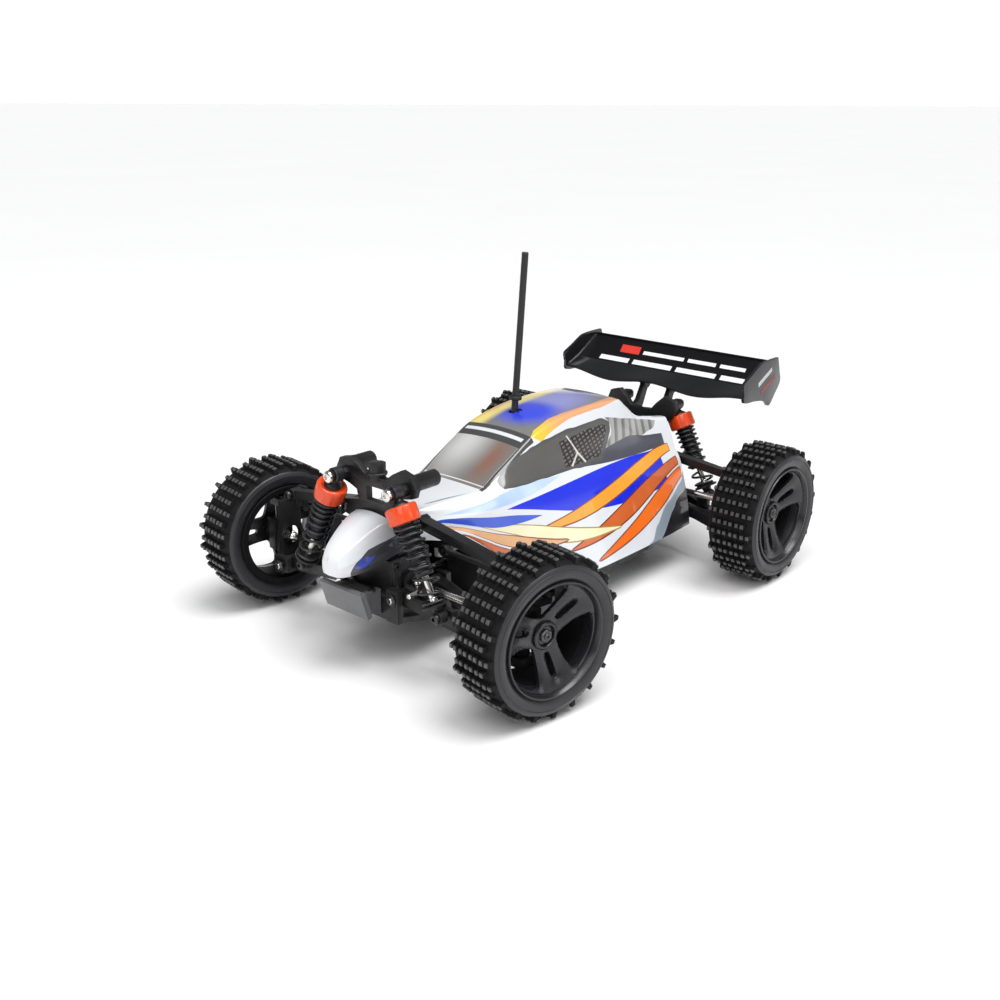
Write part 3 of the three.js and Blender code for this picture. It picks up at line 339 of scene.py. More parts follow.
def lathe(prof, n=32, closed=False, a0=0.0):
    """prof: (r, z) pairs turned about Z. Points with r = 0 become poles. closed joins the last to the first."""
    V, F, rings = [], [], []
    for r, z in prof:
        if r < 1e-9:
            rings.append([len(V)]); V.append((0, 0, z))
        else:
            s = len(V)
            for i in range(n):
                a = a0 + 2 * math.pi * i / n
                V.append((r * math.cos(a), r * math.sin(a), z))
            rings.append(list(range(s, s + n)))
    pairs = list(zip(rings, rings[1:])) + ([(rings[-1], rings[0])] if closed else [])
    for A, B in pairs:
        for i in range(n):
            j = (i + 1) % n
            if len(A) == 1 and len(B) == 1:
                continue
            if len(A) == 1:
                F.append((A[0], B[j], B[i]))
            elif len(B) == 1:
                F.append((A[i], A[j], B[0]))
            else:
                F.append((A[i], A[j], B[j], B[i]))
    # outward for a profile that goes from low z to high z
    return V, F


def solid_lathe(prof, n=24):
    """Closed turned part: starts and ends on the axis."""
    p = list(prof)
    if p[0][0] > 1e-9:
        p = [(0, p[0][1])] + p
    if p[-1][0] > 1e-9:
        p = p + [(0, p[-1][1])]
    return lathe(p, n)


def cyl(r, z0, z1, n=24, c=0.2):
    c = min(c, r * 0.4, (z1 - z0) * 0.4)
    return solid_lathe([(r - c, z0), (r, z0 + c), (r, z1 - c), (r - c, z1)], n)


def ring(ro, ri, z0, z1, n=32, c=0.2):
    c = min(c, (ro - ri) * 0.3, (z1 - z0) * 0.3)
    return lathe([(ri + c, z0), (ro - c, z0), (ro, z0 + c), (ro, z1 - c), (ro - c, z1), (ri + c, z1), (ri, z1 - c), (ri, z0 + c)], n, closed=True)


def sphere(r, n=18, m=10):
    return lathe([(r * math.sin(math.pi * i / m), -r * math.cos(math.pi * i / m)) for i in range(m + 1)], n)


def hexnut(r, z0, z1, c=0.4):
    return solid_lathe([(r - c, z0), (r, z0 + c), (r, z1 - c), (r - c, z1)], 6)


def tube(pts, r, n=10, caps=True):
    P = [Vector(p) for p in pts]
    V, F = [], []
    t = (P[1] - P[0]).normalized()
    nn = t.orthogonal().normalized()
    for i, p in enumerate(P):
        t2 = (P[min(i + 1, len(P) - 1)] - P[max(i - 1, 0)]).normalized()
        nn = (nn - t2 * nn.dot(t2)).normalized()
        bb = t2.cross(nn)
        rr = r[i] if isinstance(r, (list, tuple)) else r
        for k in range(n):
            a = 2 * math.pi * k / n
            V.append(tuple(p + nn * (rr * math.cos(a)) + bb * (rr * math.sin(a))))
    for i in range(len(P) - 1):
        for k in range(n):
            a, b = i * n + k, i * n + (k + 1) % n
            F.append((a, b, b + n, a + n))
    if caps:
        F.append(tuple(reversed(range(n))))
        F.append(tuple(range((len(P) - 1) * n, len(P) * n)))
    return V, F


def bevelled(V, F, w=0.3, seg=2, angle=28.0, dissolve=True):
    """Clean a faceted solid and round its edges."""
    bm = bmesh.new()
    vs = [bm.verts.new(p) for p in V]
    for f in F:
        try:
            bm.faces.new([vs[i] for i in f])
        except ValueError:
            pass
    bmesh.ops.remove_doubles(bm, verts=bm.verts, dist=1e-4)
    if dissolve:
        bmesh.ops.dissolve_limit(bm, angle_limit=2.0 * D2R, verts=bm.verts, edges=bm.edges)
    es = [e for e in bm.edges if len(e.link_faces) == 2 and e.calc_face_angle(0) > angle * D2R]
    if w > 0 and es:
        bmesh.ops.bevel(bm, geom=es, offset=w, segments=seg, profile=0.6, affect="EDGES", clamp_overlap=True)
    bmesh.ops.recalc_face_normals(bm, faces=bm.faces)
    bm.verts.ensure_lookup_table()
    bm.verts.index_update()
    V2 = [tuple(v.co) for v in bm.verts]
    F2 = [tuple(v.index for v in f.verts) for f in bm.faces]
    bm.free()
    return V2, F2


def box(x0, x1, y0, y1, z0, z1, w=0.3, seg=2):
    V = [(x, y, z) for z in (z0, z1) for y in (y0, y1) for x in (x0, x1)]
    F = [(0, 2, 3, 1), (4, 5, 7, 6), (0, 1, 5, 4), (2, 6, 7, 3), (0, 4, 6, 2), (1, 3, 7, 5)]
    return bevelled(V, F, w, seg, dissolve=False)


def region(outer, holes=(), spacing=None, extra=()):
    """Triangulated flat region: 2-D points and triangles."""
    pts, loops = [], []
    for lp in [outer, *holes]:
        loops.append(list(range(len(pts), len(pts) + len(lp))))
        pts += [Vector(p[:2]) for p in lp]
    pts += [Vector(p[:2]) for p in extra]
    vo, eo, fo, _, _, of = geometry.delaunay_2d_cdt(pts, [], loops, 0, 1e-5)
    keep = [f for f, o in zip(fo, of) if 0 in o and not any(k in o for k in range(1, len(loops)))]
    return [tuple(v) for v in vo], keep


def slab(pts, tris, top, bot):
    """Solid from a flat region; top and bot map (u, v) to points. Top faces outwards along the region's +normal."""
    n = len(pts)
    V = [top(*p) for p in pts] + [bot(*p) for p in pts]
    F = [tuple(t) for t in tris] + [tuple(n + i for i in reversed(t)) for t in tris]
    ec = {}
    for t in tris:
        for a, b in zip(t, list(t[1:]) + [t[0]]):
            ec[(a, b)] = ec.get((a, b), 0) + 1
    for (a, b) in ec:
        if (b, a) not in ec:
            F.append((b, a, a + n, b + n))
    return V, F


def smooth_loop(pts, k=6):
    """Closed Catmull-Rom curve through points."""
    n, out = len(pts), []
    for i in range(n):
        p0, p1, p2, p3 = (Vector(pts[(i + d) % n]) for d in (-1, 0, 1, 2))
        for j in range(k):
            t = j / k
            out.append(tuple(0.5 * ((2 * p1) + (p2 - p0) * t + (2 * p0 - 5 * p1 + 4 * p2 - p3) * t * t + (3 * p1 - p0 - 3 * p2 + p3) * t ** 3)))
    return out


def make(name, geo, body, replaces=(), angle=32.0, weighted=False):
    """Blender object in metres, in the row frame, riding on a body."""
    co = np.array(geo.v, float)
    co[:, 1] -= CY
    co *= 0.001
    me = bpy.data.meshes.new(name)
    me.from_pydata(co.tolist(), [], geo.f)
    for nme in geo.names:
        me.materials.append(MATS[nme])
    me.polygons.foreach_set("material_index", geo.m)
    me.validate()
    me.update()
    me.shade_smooth()
    if angle is not None:
        me.set_sharp_from_angle(angle=angle * D2R)
    ob = bpy.data.objects.new(name, me)
    bpy.context.scene.collection.objects.link(ob)
    if geo.nrm is not None:
        me.normals_split_custom_set_from_vertices(geo.nrm)
    if replaces:
        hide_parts(*replaces)
    if body:
        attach(ob, body)
    return ob


def cad(node):
    """A CAD node's solid, in mm from the mid-wheelbase point."""
    o = frame["nodes"][node]
    V = [(v.co.x * 1000, v.co.y * 1000 + CY, v.co.z * 1000) for v in o.data.vertices]
    F = [tuple(p.vertices) for p in o.data.polygons]
    return V, F


NODE_BODY = {n: b for b, ns in frame["record"]["behaviour"]["bodies"].items() for n in ns}


def refine(node, mat, w=0.35, seg=2, extra=None, name=None, angle=34.0):
    """A CAD piece with rounded edges, plus any added detail."""
    g = Geo()
    g.add(bevelled(*cad(node), w=w, seg=seg), mat)
    if extra:
        extra(g)
    return make(name or ("fine_" + node), g, NODE_BODY[node], replaces=(node,), angle=angle)


def screw(g, p, q, r=1.9, h=1.4, mat="screw_black", socket=0.85):
    """Button-head screw: the head's base at p, facing q."""
    T = along(p, q)
    pr = [(r, 0.0), (r, h * 0.35), (r * 0.9, h * 0.72), (r * 0.66, h * 0.94), (socket + 0.12, h), ]
    g.add(lathe([(0, 0)] + pr + [(socket, h - 0.05), (socket * 0.96, h * 0.35), (0, h * 0.3)], 24), mat, T)


SIDES = (("left", 1), ("right", -1))

# ------------------------------------------------------------------ painted areas of the shell: (u across, y along)
def sweep(mat, y0, u0, y1, u1, w, bow=0.0, tail=0.0):
    """Plain tapered stripe from (u0, y0) to (u1, y1); w is its half width, tail keeps its rear end wide."""
    n, top, bot = 14, [], []
    for i in range(n + 1):
        t = i / n
        y, u = y0 + (y1 - y0) * t, u0 + (u1 - u0) * t + bow * math.sin(math.pi * t)
        h = w * ((1 - tail) * math.sin(math.pi * t ** 0.8) + tail * math.sin(0.5 * math.pi * t))
        top.append((u - h, y))
        bot.append((u + h, y))
    return (mat, top + bot[(-1 if tail else -2):0:-1])


LIV = [
 # nose: grey painted shade with a painted ridge highlight
 ('pearl', [(-10, -118.8), (10, -118.8), (10, -89), (-10, -89)]),
 ('roof', [(-4, -20.4), (4, -20.4), (4, 0), (4, 25), (3.95, 50), (2.2, 50), (0, 50), (-2.2, 50), (-3.95, 50), (-4, 25), (-4, 0)]),
 ('deck', [(-3, 50), (3, 50), (3, 82), (-3, 82)]),
 ('band', [(-4, -26.2), (4, -26.2), (4, -18.6), (-4, -18.6)]),
 ('white', [(-2.9, -23.1), (2.9, -23.1), (2.9, -21.2), (-2.9, -21.2)]),
 ('screen', [(-3.8, -49.8), (-2, -50.1), (0, -50.2), (2, -50.1), (3.8, -49.8), (3.85, -26.2), (-3.85, -26.2)]),
 ('band', [(3.8, -50.6), (4.42, -50.4), (4.42, -18.4), (3.85, -18.4)]),
 ('band', [(-3.8, -50.6), (-4.42, -50.4), (-4.42, -18.4), (-3.85, -18.4)]),
 ('line', [(3.46, -49.9), (3.54, -49.9), (3.54, -26.4), (3.46, -26.4)]),
 ('line', [(-3.46, -49.9), (-3.54, -49.9), (-3.54, -26.4), (-3.46, -26.4)]),
 ('line', [(-3.9, -48.4), (3.9, -48.4), (3.9, -47.8), (-3.9, -47.8)]),
 ('roofedge', [(4.08, -18.8), (2.7, -14.6), (2.65, -11.1), (2.46, -7.2), (2.17, -2.6), (2.41, 1.6), (2.51, 6.5), (2.74, 11), (2.89, 15.9), (2.94, 21), (3.03, 26.2), (2.74, 32.4), (2.22, 39.5), (1.89, 46.3), (4.03, 47), (4.18, 41.5), (4.27, 36), (4.32, 30.8), (4.32, 25.9), (4.32, 21.4), (4.32, 16.8), (4.32, 12.3), (4.32, 8.1), (4.37, 2.6), (4.42, -2.9), (4.46, -6.5), (4.51, -10.4), (4.56, -14)]),
 ('louvre', [(4.65, 31.4), (4.7, 36.3), (4.75, 40.8), (4.8, 45.7), (4.7, 51.2), (4.46, 57.7), (4.32, 63.2), (4.32, 68.1), (4.37, 72.6), (4.75, 69.4), (5.04, 62.9), (5.42, 56.1), (5.66, 49.9), (5.8, 45), (5.89, 40.2), (5.99, 35.3), (6.09, 30.4), (6.13, 25.3), (6.18, 20.7), (5.85, 24.6), (5.66, 27.2), (5.47, 29.8), (5.13, 34), (4.8, 34.3)]),
 sweep('greyfade', -76, 2.0, -54, 3.4, 0.3),
 sweep('lightblue', -72, 6.2, -8, 6.2, 0.35, 0.15),
 sweep('blue', -44, 6.9, 66, 7.2, 1.05, 0.2, 0.9),
 sweep('navyband', 0, 6.1, 74, 5.6, 0.5, 0.1, 0.9),
 sweep('orange', -30, 8.2, 76, 6.1, 0.36, 0.35, 0.6),
 sweep('redorange', -14, 9.1, 79, 7.0, 0.38, 0.3, 0.7),
 sweep('orangered', 2, 9.75, 80, 7.75, 0.34, 0.2, 0.8),
 sweep('cream', -62, 7.6, 22, 8.9, 0.26, 0.2),
 sweep('royal', -84, 6.9, -26, 7.6, 0.4, 0.2),
 sweep('peach', -80, 8.0, -14, 8.7, 0.26, 0.2),
 sweep('redorange', -66, 9.0, -16, 9.4, 0.24, 0.1),
 ('dark', [(8.47, 82), (8.62, 79.4), (8.71, 74.2), (8.85, 69.7), (9.05, 66.4), (9.19, 62.9), (9.38, 59.6), (9.57, 57), (9.76, 54.4), (9.9, 51.8), (10, 48.6), (10, 82)]),
 ('greyblue', [(7.85, 82), (8.19, 82), (8.47, 82), (8.62, 79.4), (8.71, 74.2), (8.85, 69.7), (9.05, 66.4), (9.19, 62.9), (9.38, 59.6), (9.57, 57), (9.76, 54.4), (9.9, 51.8), (10, 48.6), (10, 45.4), (10, 40.2), (9.95, 43.4), (9.76, 45.7), (9.52, 48), (9.38, 50.9), (9.19, 53.5), (9, 56.4), (8.85, 60), (8.76, 64.5), (8.62, 69), (8.42, 74.2), (8.23, 79.4)]),
 ('nosedark', [(10, -113.6), (9.2, -113.9), (8, -112.9), (7.18, -111.6), (6.56, -109), (6.04, -106.4), (6.13, -104.1), (6.18, -101.8), (6.28, -99.2), (6.28, -96.7), (6.28, -93.7), (7.52, -91.1), (8.62, -89.8), (10, -88.0), (10, -96.7), (10, -102.5), (10, -108)]),
 ('nosenavy', [(8.33, -112.5), (7.52, -111.2), (6.8, -109.9), (7.37, -106.7), (7.76, -103.8), (8.71, -106.1), (9.09, -109.6)]),
 ('winrim', [(4.61, -42.5), (4.42, -39.9), (4.42, -37.3), (4.37, -34.7), (4.37, -31.2), (4.42, -27.6), (4.51, -24), (4.51, -21.1), (4.56, -17.5), (4.56, -13.3), (4.61, -8.5), (4.61, -3.9), (4.61, 0.3), (4.61, 4.5), (4.65, 8.7), (4.65, 13.3), (4.65, 18.5), (4.65, 23.6), (4.65, 29.2), (4.8, 34.3), (5.08, 33.4), (5.32, 31.1), (5.51, 29.2), (5.7, 26.9), (6.13, 22.3), (6.13, 16.2), (6.18, 10), (6.18, 5.5), (6.13, 1.3), (6.13, -2.9), (6.13, -7.2), (6.13, -12), (6.13, -16.9), (6.09, -21.4), (6.09, -25.3), (6.09, -29.2), (6.04, -32.8), (5.99, -36.3), (5.75, -41.5), (5.23, -42.8)]),
 ('glass', [(4.65, -40.2), (4.51, -38), (4.56, -33.1), (4.56, -29.9), (4.61, -26.3), (4.65, -23.1), (4.65, -20.1), (4.65, -16.9), (4.7, -12.7), (4.7, -8.1), (4.7, -3.9), (4.7, -0), (4.75, 4.2), (4.75, 8.4), (4.75, 12.6), (4.75, 17.5), (4.7, 22.7), (4.7, 27.9), (4.84, 31.4), (5.08, 31.1), (5.32, 28.2), (5.61, 25.3), (5.99, 21), (5.99, 15.2), (5.99, 9.4), (5.99, 5.2), (5.99, 0.6), (5.99, -3.6), (5.99, -7.8), (5.99, -12.4), (5.99, -16.6), (5.99, -21.1), (5.94, -25), (5.94, -28.6), (5.89, -32.1), (5.8, -36), (5.56, -40.2), (5.04, -41.2)]),
 ('net', [(4.89, -3.6), (4.89, 3.5), (4.89, 9), (4.84, 14.6), (4.84, 19.1), (4.84, 23.6), (4.84, 28.5), (4.89, 30.8), (5.08, 30.1), (5.37, 27.5), (5.61, 24.9), (5.94, 20.7), (5.94, 15.2), (5.99, 9.7), (5.99, 3.9), (5.99, -1.7), (5.94, -4.2), (5.47, -3.6), (5.18, -3.6)]),
 ('strap', [(4.8, 1.6), (5.18, 3.9), (5.56, 5.8), (5.8, 7.8), (6.04, 9.7), (5.99, 10.7), (5.75, 8.7), (5.51, 6.8), (5.18, 4.8), (4.8, 2.6)]),
 ('strap', [(5.51, 6.1), (5.75, 3.2), (5.99, -0), (6.04, 0.9), (5.8, 3.9), (5.56, 6.8)]),
]

# ------------------------------------------------------------------ body shell: section table as in the CAD source, mm
K = np.array([
    [-118.8, 48.6, 0, 48.2, 0, 46, 0, 44, 0, 42.6],
    [-117.6, 50.8, 3.4, 49.4, 4.6, 46.8, 4.8, 44.4, 4.4, 42.3],
    [-115, 53, 5.2, 51.6, 6.6, 48.4, 6.9, 45.4, 6.6, 42.4],
    [-111, 55.8, 6.6, 54.2, 8.4, 50.2, 8.9, 46.6, 8.8, 43],
    [-105, 59.2, 8, 57.6, 10.2, 52.8, 10.9, 48.6, 11, 44.4],
    [-98, 61.9, 9.2, 60.4, 12, 55.2, 12.9, 51, 13.1, 47],
    [-91, 62.6, 10, 61.3, 13, 56.6, 14.1, 52.8, 14.5, 49],
    [-83, 62.9, 10.6, 61.8, 13.2, 58, 14, 54.6, 14.4, 50],
    [-74, 63.3, 12.2, 62.4, 15.6, 58.8, 17, 54.4, 17.8, 48.6],
    [-65, 63.9, 14.2, 63, 18.6, 59.2, 20.8, 52.6, 22, 46.2],
    [-56, 64.3, 16.2, 63.5, 21.6, 60, 24.6, 50, 26.4, 39],
    [-50, 64.7, 17.4, 64.1, 23.2, 61, 26.8, 48.6, 29.2, 33.5],
    [-40, 70.4, 17.9, 69.4, 24.4, 62.8, 29.6, 47.4, 33, 27],
    [-30, 75.8, 18.1, 74.6, 25.1, 63.7, 32, 46.4, 36.4, 22.8],
    [-19.6, 81.2, 18.1, 79.8, 25.6, 64.2, 33.5, 45.4, 39.4, 20.6],
    [-7, 84.6, 17.7, 83.1, 26, 64.4, 34.6, 44.6, 41.6, 19.8],
    [8, 86.2, 17.3, 85, 26.3, 64.2, 35.2, 44.2, 42.6, 19.5],
    [26, 86.5, 17, 85.5, 26.2, 63.4, 35.3, 44, 42.8, 19.5],
    [46, 85.2, 16.8, 84.3, 25.8, 61.8, 35, 43.8, 42.6, 19.5],
    [52, 78.5, 17.2, 80, 25.8, 61, 34.8, 43.6, 42.4, 19.5],
    [60, 68, 18, 73.8, 25.9, 60, 34.6, 43.4, 42.2, 19.5],
    [68, 65.4, 18.8, 71.6, 26.2, 58.8, 34.4, 43.2, 41.8, 19.5],
    [82, 64.8, 20, 69.2, 27.2, 56, 33.9, 43, 41, 19.5]], float)
YS = K[:, 0]


def lean(y, z):
    return y - ((y - 60) / 22) * max(0, (69 - z) / 49.5) ** 1.3 * 5.0 if y > 60 else y


def section(k):
    """Eleven points of one half-section, ridge to lower edge."""
    y, zc, xr, zr, xb, zb, xm, zm, xl, zl = k
    fin = min(1, max(0, (y - 47) / 13))
    wr = min(xr, 2.8)
    p = [(0, zc), (0.5 * xr, zc - (zc - zr) * 0.25 * (1 - fin)),
         ((xr - 3.6) * fin + 0.8 * xr * (1 - fin), zc * fin + (zc - (zc - zr) * 0.62) * (1 - fin)),
         ((xr - wr) * fin + 0.92 * xr * (1 - fin), zr * fin + (zc - (zc - zr) * 0.82) * (1 - fin)), (xr, zr)]
    q = lambda a, b, t, o: (a[0] + (b[0] - a[0]) * t + o, a[1] + (b[1] - a[1]) * t + o * 0.35)
    R, B, M, L = (xr, zr), (xb, zb), (xm, zm), (xl, zl)
    p += [q(R, B, .5, .35 * min(1, xr / 12)), B, q(B, M, .5, .7 * min(1, xb / 20)), M, q(M, L, .5, .5 * min(1, xb / 20)), L]
    return np.array([(x, lean(y, z), z) for x, z in p])


def pchip(xs, Y, x):
    h = np.diff(xs)
    sh = (-1,) + (1,) * (Y.ndim - 1)
    d = np.diff(Y, axis=0) / h.reshape(sh)
    m = np.zeros_like(Y)
    w1 = (2 * h[1:] + h[:-1]).reshape(sh)
    w2 = (h[1:] + 2 * h[:-1]).reshape(sh)
    with np.errstate(all="ignore"):
        mm = (w1 + w2) / (w1 / d[:-1] + w2 / d[1:])
    m[1:-1] = np.where(d[:-1] * d[1:] > 0, mm, 0)
    m[0] = d[0]
    m[-1] = d[-1]
    i = np.clip(np.searchsorted(xs, x, side="right") - 1, 0, len(xs) - 2)
    t = ((x - xs[i]) / h[i]).reshape(sh)
    H = h[i].reshape(sh)
    return (1 + 2 * t) * (1 - t) ** 2 * Y[i] + t * (1 - t) ** 2 * H * m[i] + t * t * (3 - 2 * t) * Y[i + 1] + t * t * (t - 1) * H * m[i + 1]


def surf(u, y):
    """Shell's outer face; u runs across from -10 to 10, y along."""
    u = np.atleast_1d(np.asarray(u, float))
    y = np.atleast_1d(np.asarray(y, float))
    P = np.array([section(r) for r in pchip(YS, K, y)])
    a = np.abs(u)
    i = np.clip(a.astype(int), 0, 9)
    t = (a - i)[:, None]
    idx = np.arange(len(u))
    g = lambda k: P[idx, np.clip(k, 0, 10)]
    p0, p1, p2, p3 = g(i - 1), g(i), g(i + 1), g(i + 2)
    p0 = np.where((i == 0)[:, None], p2 * [-1, 1, 1], p0)

    def slope(a, b):
        with np.errstate(all="ignore"):
            m = 2 * a * b / (a + b)
        return np.where(a * b > 0, m, 0)
    m1 = slope(p1 - p0, p2 - p1)
    m2 = slope(p2 - p1, p3 - p2)
    m2 = np.where((i == 9)[:, None], p2 - p1, m2)
    q = (1 + 2 * t) * (1 - t) ** 2 * p1 + t * (1 - t) ** 2 * m1 + t * t * (3 - 2 * t) * p2 + t * t * (t - 1) * m2
    q[:, 0] *= np.where(u < 0, -1, 1)
    return q


def surf_normals(u, y):
    """Outward unit normals, from the grid of a smoothed surface."""
    e, h = 0.06, 0.5
    a = surf(np.clip(u + e, -10, 10), y) - surf(np.clip(u - e, -10, 10), y)
    b = surf(u, np.clip(y + h, YS[0], YS[-1])) - surf(u, np.clip(y - h, YS[0], YS[-1]))
    n = np.cross(a, b)
    # near the nose tip the section shrinks: fall back to the fore-aft direction
    ln = np.linalg.norm(n, axis=1, keepdims=True)
    bad = ln[:, 0] < 1e-9
    n = n / np.maximum(ln, 1e-9)
    n[bad] = (0, -1, 0)
    return n


US = 8.0
OUTLINE = {"orange": ("maroon", 0.42), "cream": ("ochre", 0.36), "orangered": ("maroon", 0.45), "peach": ("maroon", 0.36), "redorange": ("darkred", 0.4), "purple": ("plum", 0.3),
           "blue2": ("navy", 0.34), "greyblue": ("greylilac", 0.3)}


def rounded(lp, k=4):
    """Smooth closed line through the points in (u, y), keeping its sharp corners."""
    P = [Vector((u * US, y)) for u, y in lp]
    n = len(P)
    T = []
    for i in range(n):
        a, b = P[i] - P[i - 1], P[(i + 1) % n] - P[i]
        if a.length < 1e-6 or b.length < 1e-6 or a.angle(b) > 52 * D2R:
            T.append(None)
        else:
            T.append((a / a.length + b / b.length).normalized())
    out = []
    for i in range(n):
        p, q = P[i], P[(i + 1) % n]
        d = (q - p).length
        if d < 1e-6:
            continue
        m0 = (T[i] if T[i] is not None else (q - p) / d) * d
        m1 = (T[(i + 1) % n] if T[(i + 1) % n] is not None else (q - p) / d) * d
        for j in range(k):
            t = j / k
            out.append((2 * t ** 3 - 3 * t * t + 1) * p + (t ** 3 - 2 * t * t + t) * m0 + (3 * t * t - 2 * t ** 3) * q + (t ** 3 - t * t) * m1)
    return [(v.x / US, v.y) for v in out]


def grown(lp, d):
    """The line moved outwards by d mm."""
    P = [Vector((u * US, y)) for u, y in lp]
    n = len(P)
    s = 1 if sum(P[i].x * P[(i + 1) % n].y - P[(i + 1) % n].x * P[i].y for i in range(n)) > 0 else -1
    out = []
    for i in range(n):
        t = P[(i + 1) % n] - P[i - 1]
        if t.length < 1e-6:
            out.append(P[i]); continue
        t.normalize()
        out.append(P[i] + Vector((t.y, -t.x)) * (d * s))
    return [(v.x / US, v.y) for v in out]


def shell():
    polys = []
    for mat, pts in LIV:
        if len(pts) > 8 and mat not in ("roof", "screen", "white"):
            pts = rounded(pts)
            if mat in OUTLINE:
                om, ow = OUTLINE[mat]
                lp2 = grown(pts, ow)
                polys.append((om, lp2))
                if min(p[0] for p in lp2) > 0.0:
                    polys.append((om, [(-u, y) for u, y in reversed(lp2)]))
        polys.append((mat, pts))
        if min(p[0] for p in pts) > 0.0:
            polys.append((mat, [(-u, y) for u, y in reversed(pts)]))
    # order: mirrored copies directly after their original, so the painter's order holds on both sides
    y0, y1 = YS[0], YS[-1]
    us = np.arange(-10, 10.001, 0.25)
    ys = np.unique(np.concatenate([np.arange(y0, y1, 2.0), [y1], np.arange(y0, -100, 1.0)]))
    pts, edges, loops = [], [], []
    pts += [(-10, y0), (10, y0), (10, y1), (-10, y1)]
    edges += [(0, 1), (1, 2), (2, 3), (3, 0)]
    labels = ["white"]
    for mat, lp in polys:
        lp = [(min(10, max(-10, u)), min(y1, max(y0, y))) for u, y in lp]
        # even steps along the edges, so that curves follow the surface
        out = []
        for (a, b) in zip(lp, lp[1:] + lp[:1]):
            d = math.hypot((b[0] - a[0]) * US, b[1] - a[1])
            k = max(1, int(math.ceil(d / 2.4)))
            out += [(a[0] + (b[0] - a[0]) * j / k, a[1] + (b[1] - a[1]) * j / k) for j in range(k)]
        lp = out
        o = len(pts)
        pts += lp
        edges += [(o + i, o + (i + 1) % len(lp)) for i in range(len(lp))]
        loops.append(np.array(lp))
        labels.append(mat)
    # straight edges for the slot that takes the tower
    for yy in (-94.6, -87.6):
        o = len(pts)
        row = [(-9.9 + 0.165 * i, yy) for i in range(121)]
        pts += row
        edges += [(o + i, o + i + 1) for i in range(120)]
    grid = [(u, y) for u in us for y in ys]
    pts += grid
    P2 = [Vector((u * US, y)) for u, y in pts]
    vo, eo, fo, _, _, _ = geometry.delaunay_2d_cdt(P2, edges, [], 0, 1e-4)
    uv = np.array([(v[0] / US, v[1]) for v in vo])
    uv[:, 0] = np.clip(uv[:, 0], -10, 10)
    pos = surf(uv[:, 0], uv[:, 1])
    nrm = surf_normals(uv[:, 0], uv[:, 1])
    # the last area that holds a triangle's centre gives its paint
    cen = np.array([uv[list(f)].mean(axis=0) for f in fo])
    top = np.zeros(len(fo), int)
    for k, lp in enumerate(loops):
        lo, hi = lp.min(axis=0), lp.max(axis=0)
        near = np.nonzero((cen[:, 0] >= lo[0]) & (cen[:, 0] <= hi[0]) & (cen[:, 1] >= lo[1]) & (cen[:, 1] <= hi[1]))[0]
        if not len(near):
            continue
        px, py = cen[near, 0][:, None], cen[near, 1][:, None]
        ax, ay = lp[:, 0], lp[:, 1]
        bx, by = np.roll(ax, -1), np.roll(ay, -1)
        with np.errstate(all="ignore"):
            cross = ((ay > py) != (by > py)) & (px < (bx - ax) * (py - ay) / (by - ay) + ax)
        top[near[cross.sum(axis=1) % 2 == 1]] = k + 1
    # cut-outs: a slot for the tower and a hole for the antenna
    tris, mats = [], []
    for f, o in zip(fo, top):
        c = pos[list(f)].mean(axis=0)
        if abs(c[0]) < 40 and -94.6 < c[1] < -87.6 and c[2] > 55.6:
            continue
        if math.hypot(c[0] + 3.93, c[1] + 3.8) < 3.1 and c[2] > 60:
            continue
        a = sum((uv[f[i]][0] * uv[f[(i + 1) % len(f)]][1] - uv[f[(i + 1) % len(f)]][0] * uv[f[i]][1]) for i in range(len(f)))
        tris.append(tuple(f) if a > 0 else tuple(reversed(f)))
        mats.append(labels[o])
    used = sorted({i for t in tris for i in t})
    remap = {i: k for k, i in enumerate(used)}
    pos, nrm = pos[used], nrm[used]
    tris = [tuple(remap[i] for i in t) for t in tris]
    n = len(used)
    T0 = 0.8
    # the sheet thins towards the tip of the nose, where the two faces would cross
    inner = pos - nrm * (T0 * np.clip((uv[used][:, 1:2] + 118.7) / 4.0, 0.04, 1.0))
    g = Geo()
    V = [tuple(p) for p in pos] + [tuple(p) for p in inner]
    F = list(tris) + [tuple(n + i for i in reversed(t)) for t in tris]
    M = mats + ["inside"] * len(tris)
    ec = {}
    for t, mm in zip(tris, mats):
        for a, b in zip(t, t[1:] + t[:1]):
            ec[(a, b)] = mm
    for (a, b), mm in ec.items():
        if (b, a) not in ec:
            F.append((b, a, a + n, b + n))
            M.append(mm)
    g.add((V, F), M)
    g.nrm = [tuple(v) for v in nrm] + [tuple(-v) for v in nrm]
    return g, n


sg, nshell = shell()
make("shell_painted", sg, "chassis", replaces=("body_shell",), angle=None)

# ------------------------------------------------------------------ wheels: built once with the axle on +X, then placed
RX = Matrix(((0, 0, 1, 0), (0, 1, 0, 0), (-1, 0, 0, 0), (0, 0, 0, 1)))   # lathe axis Z onto X


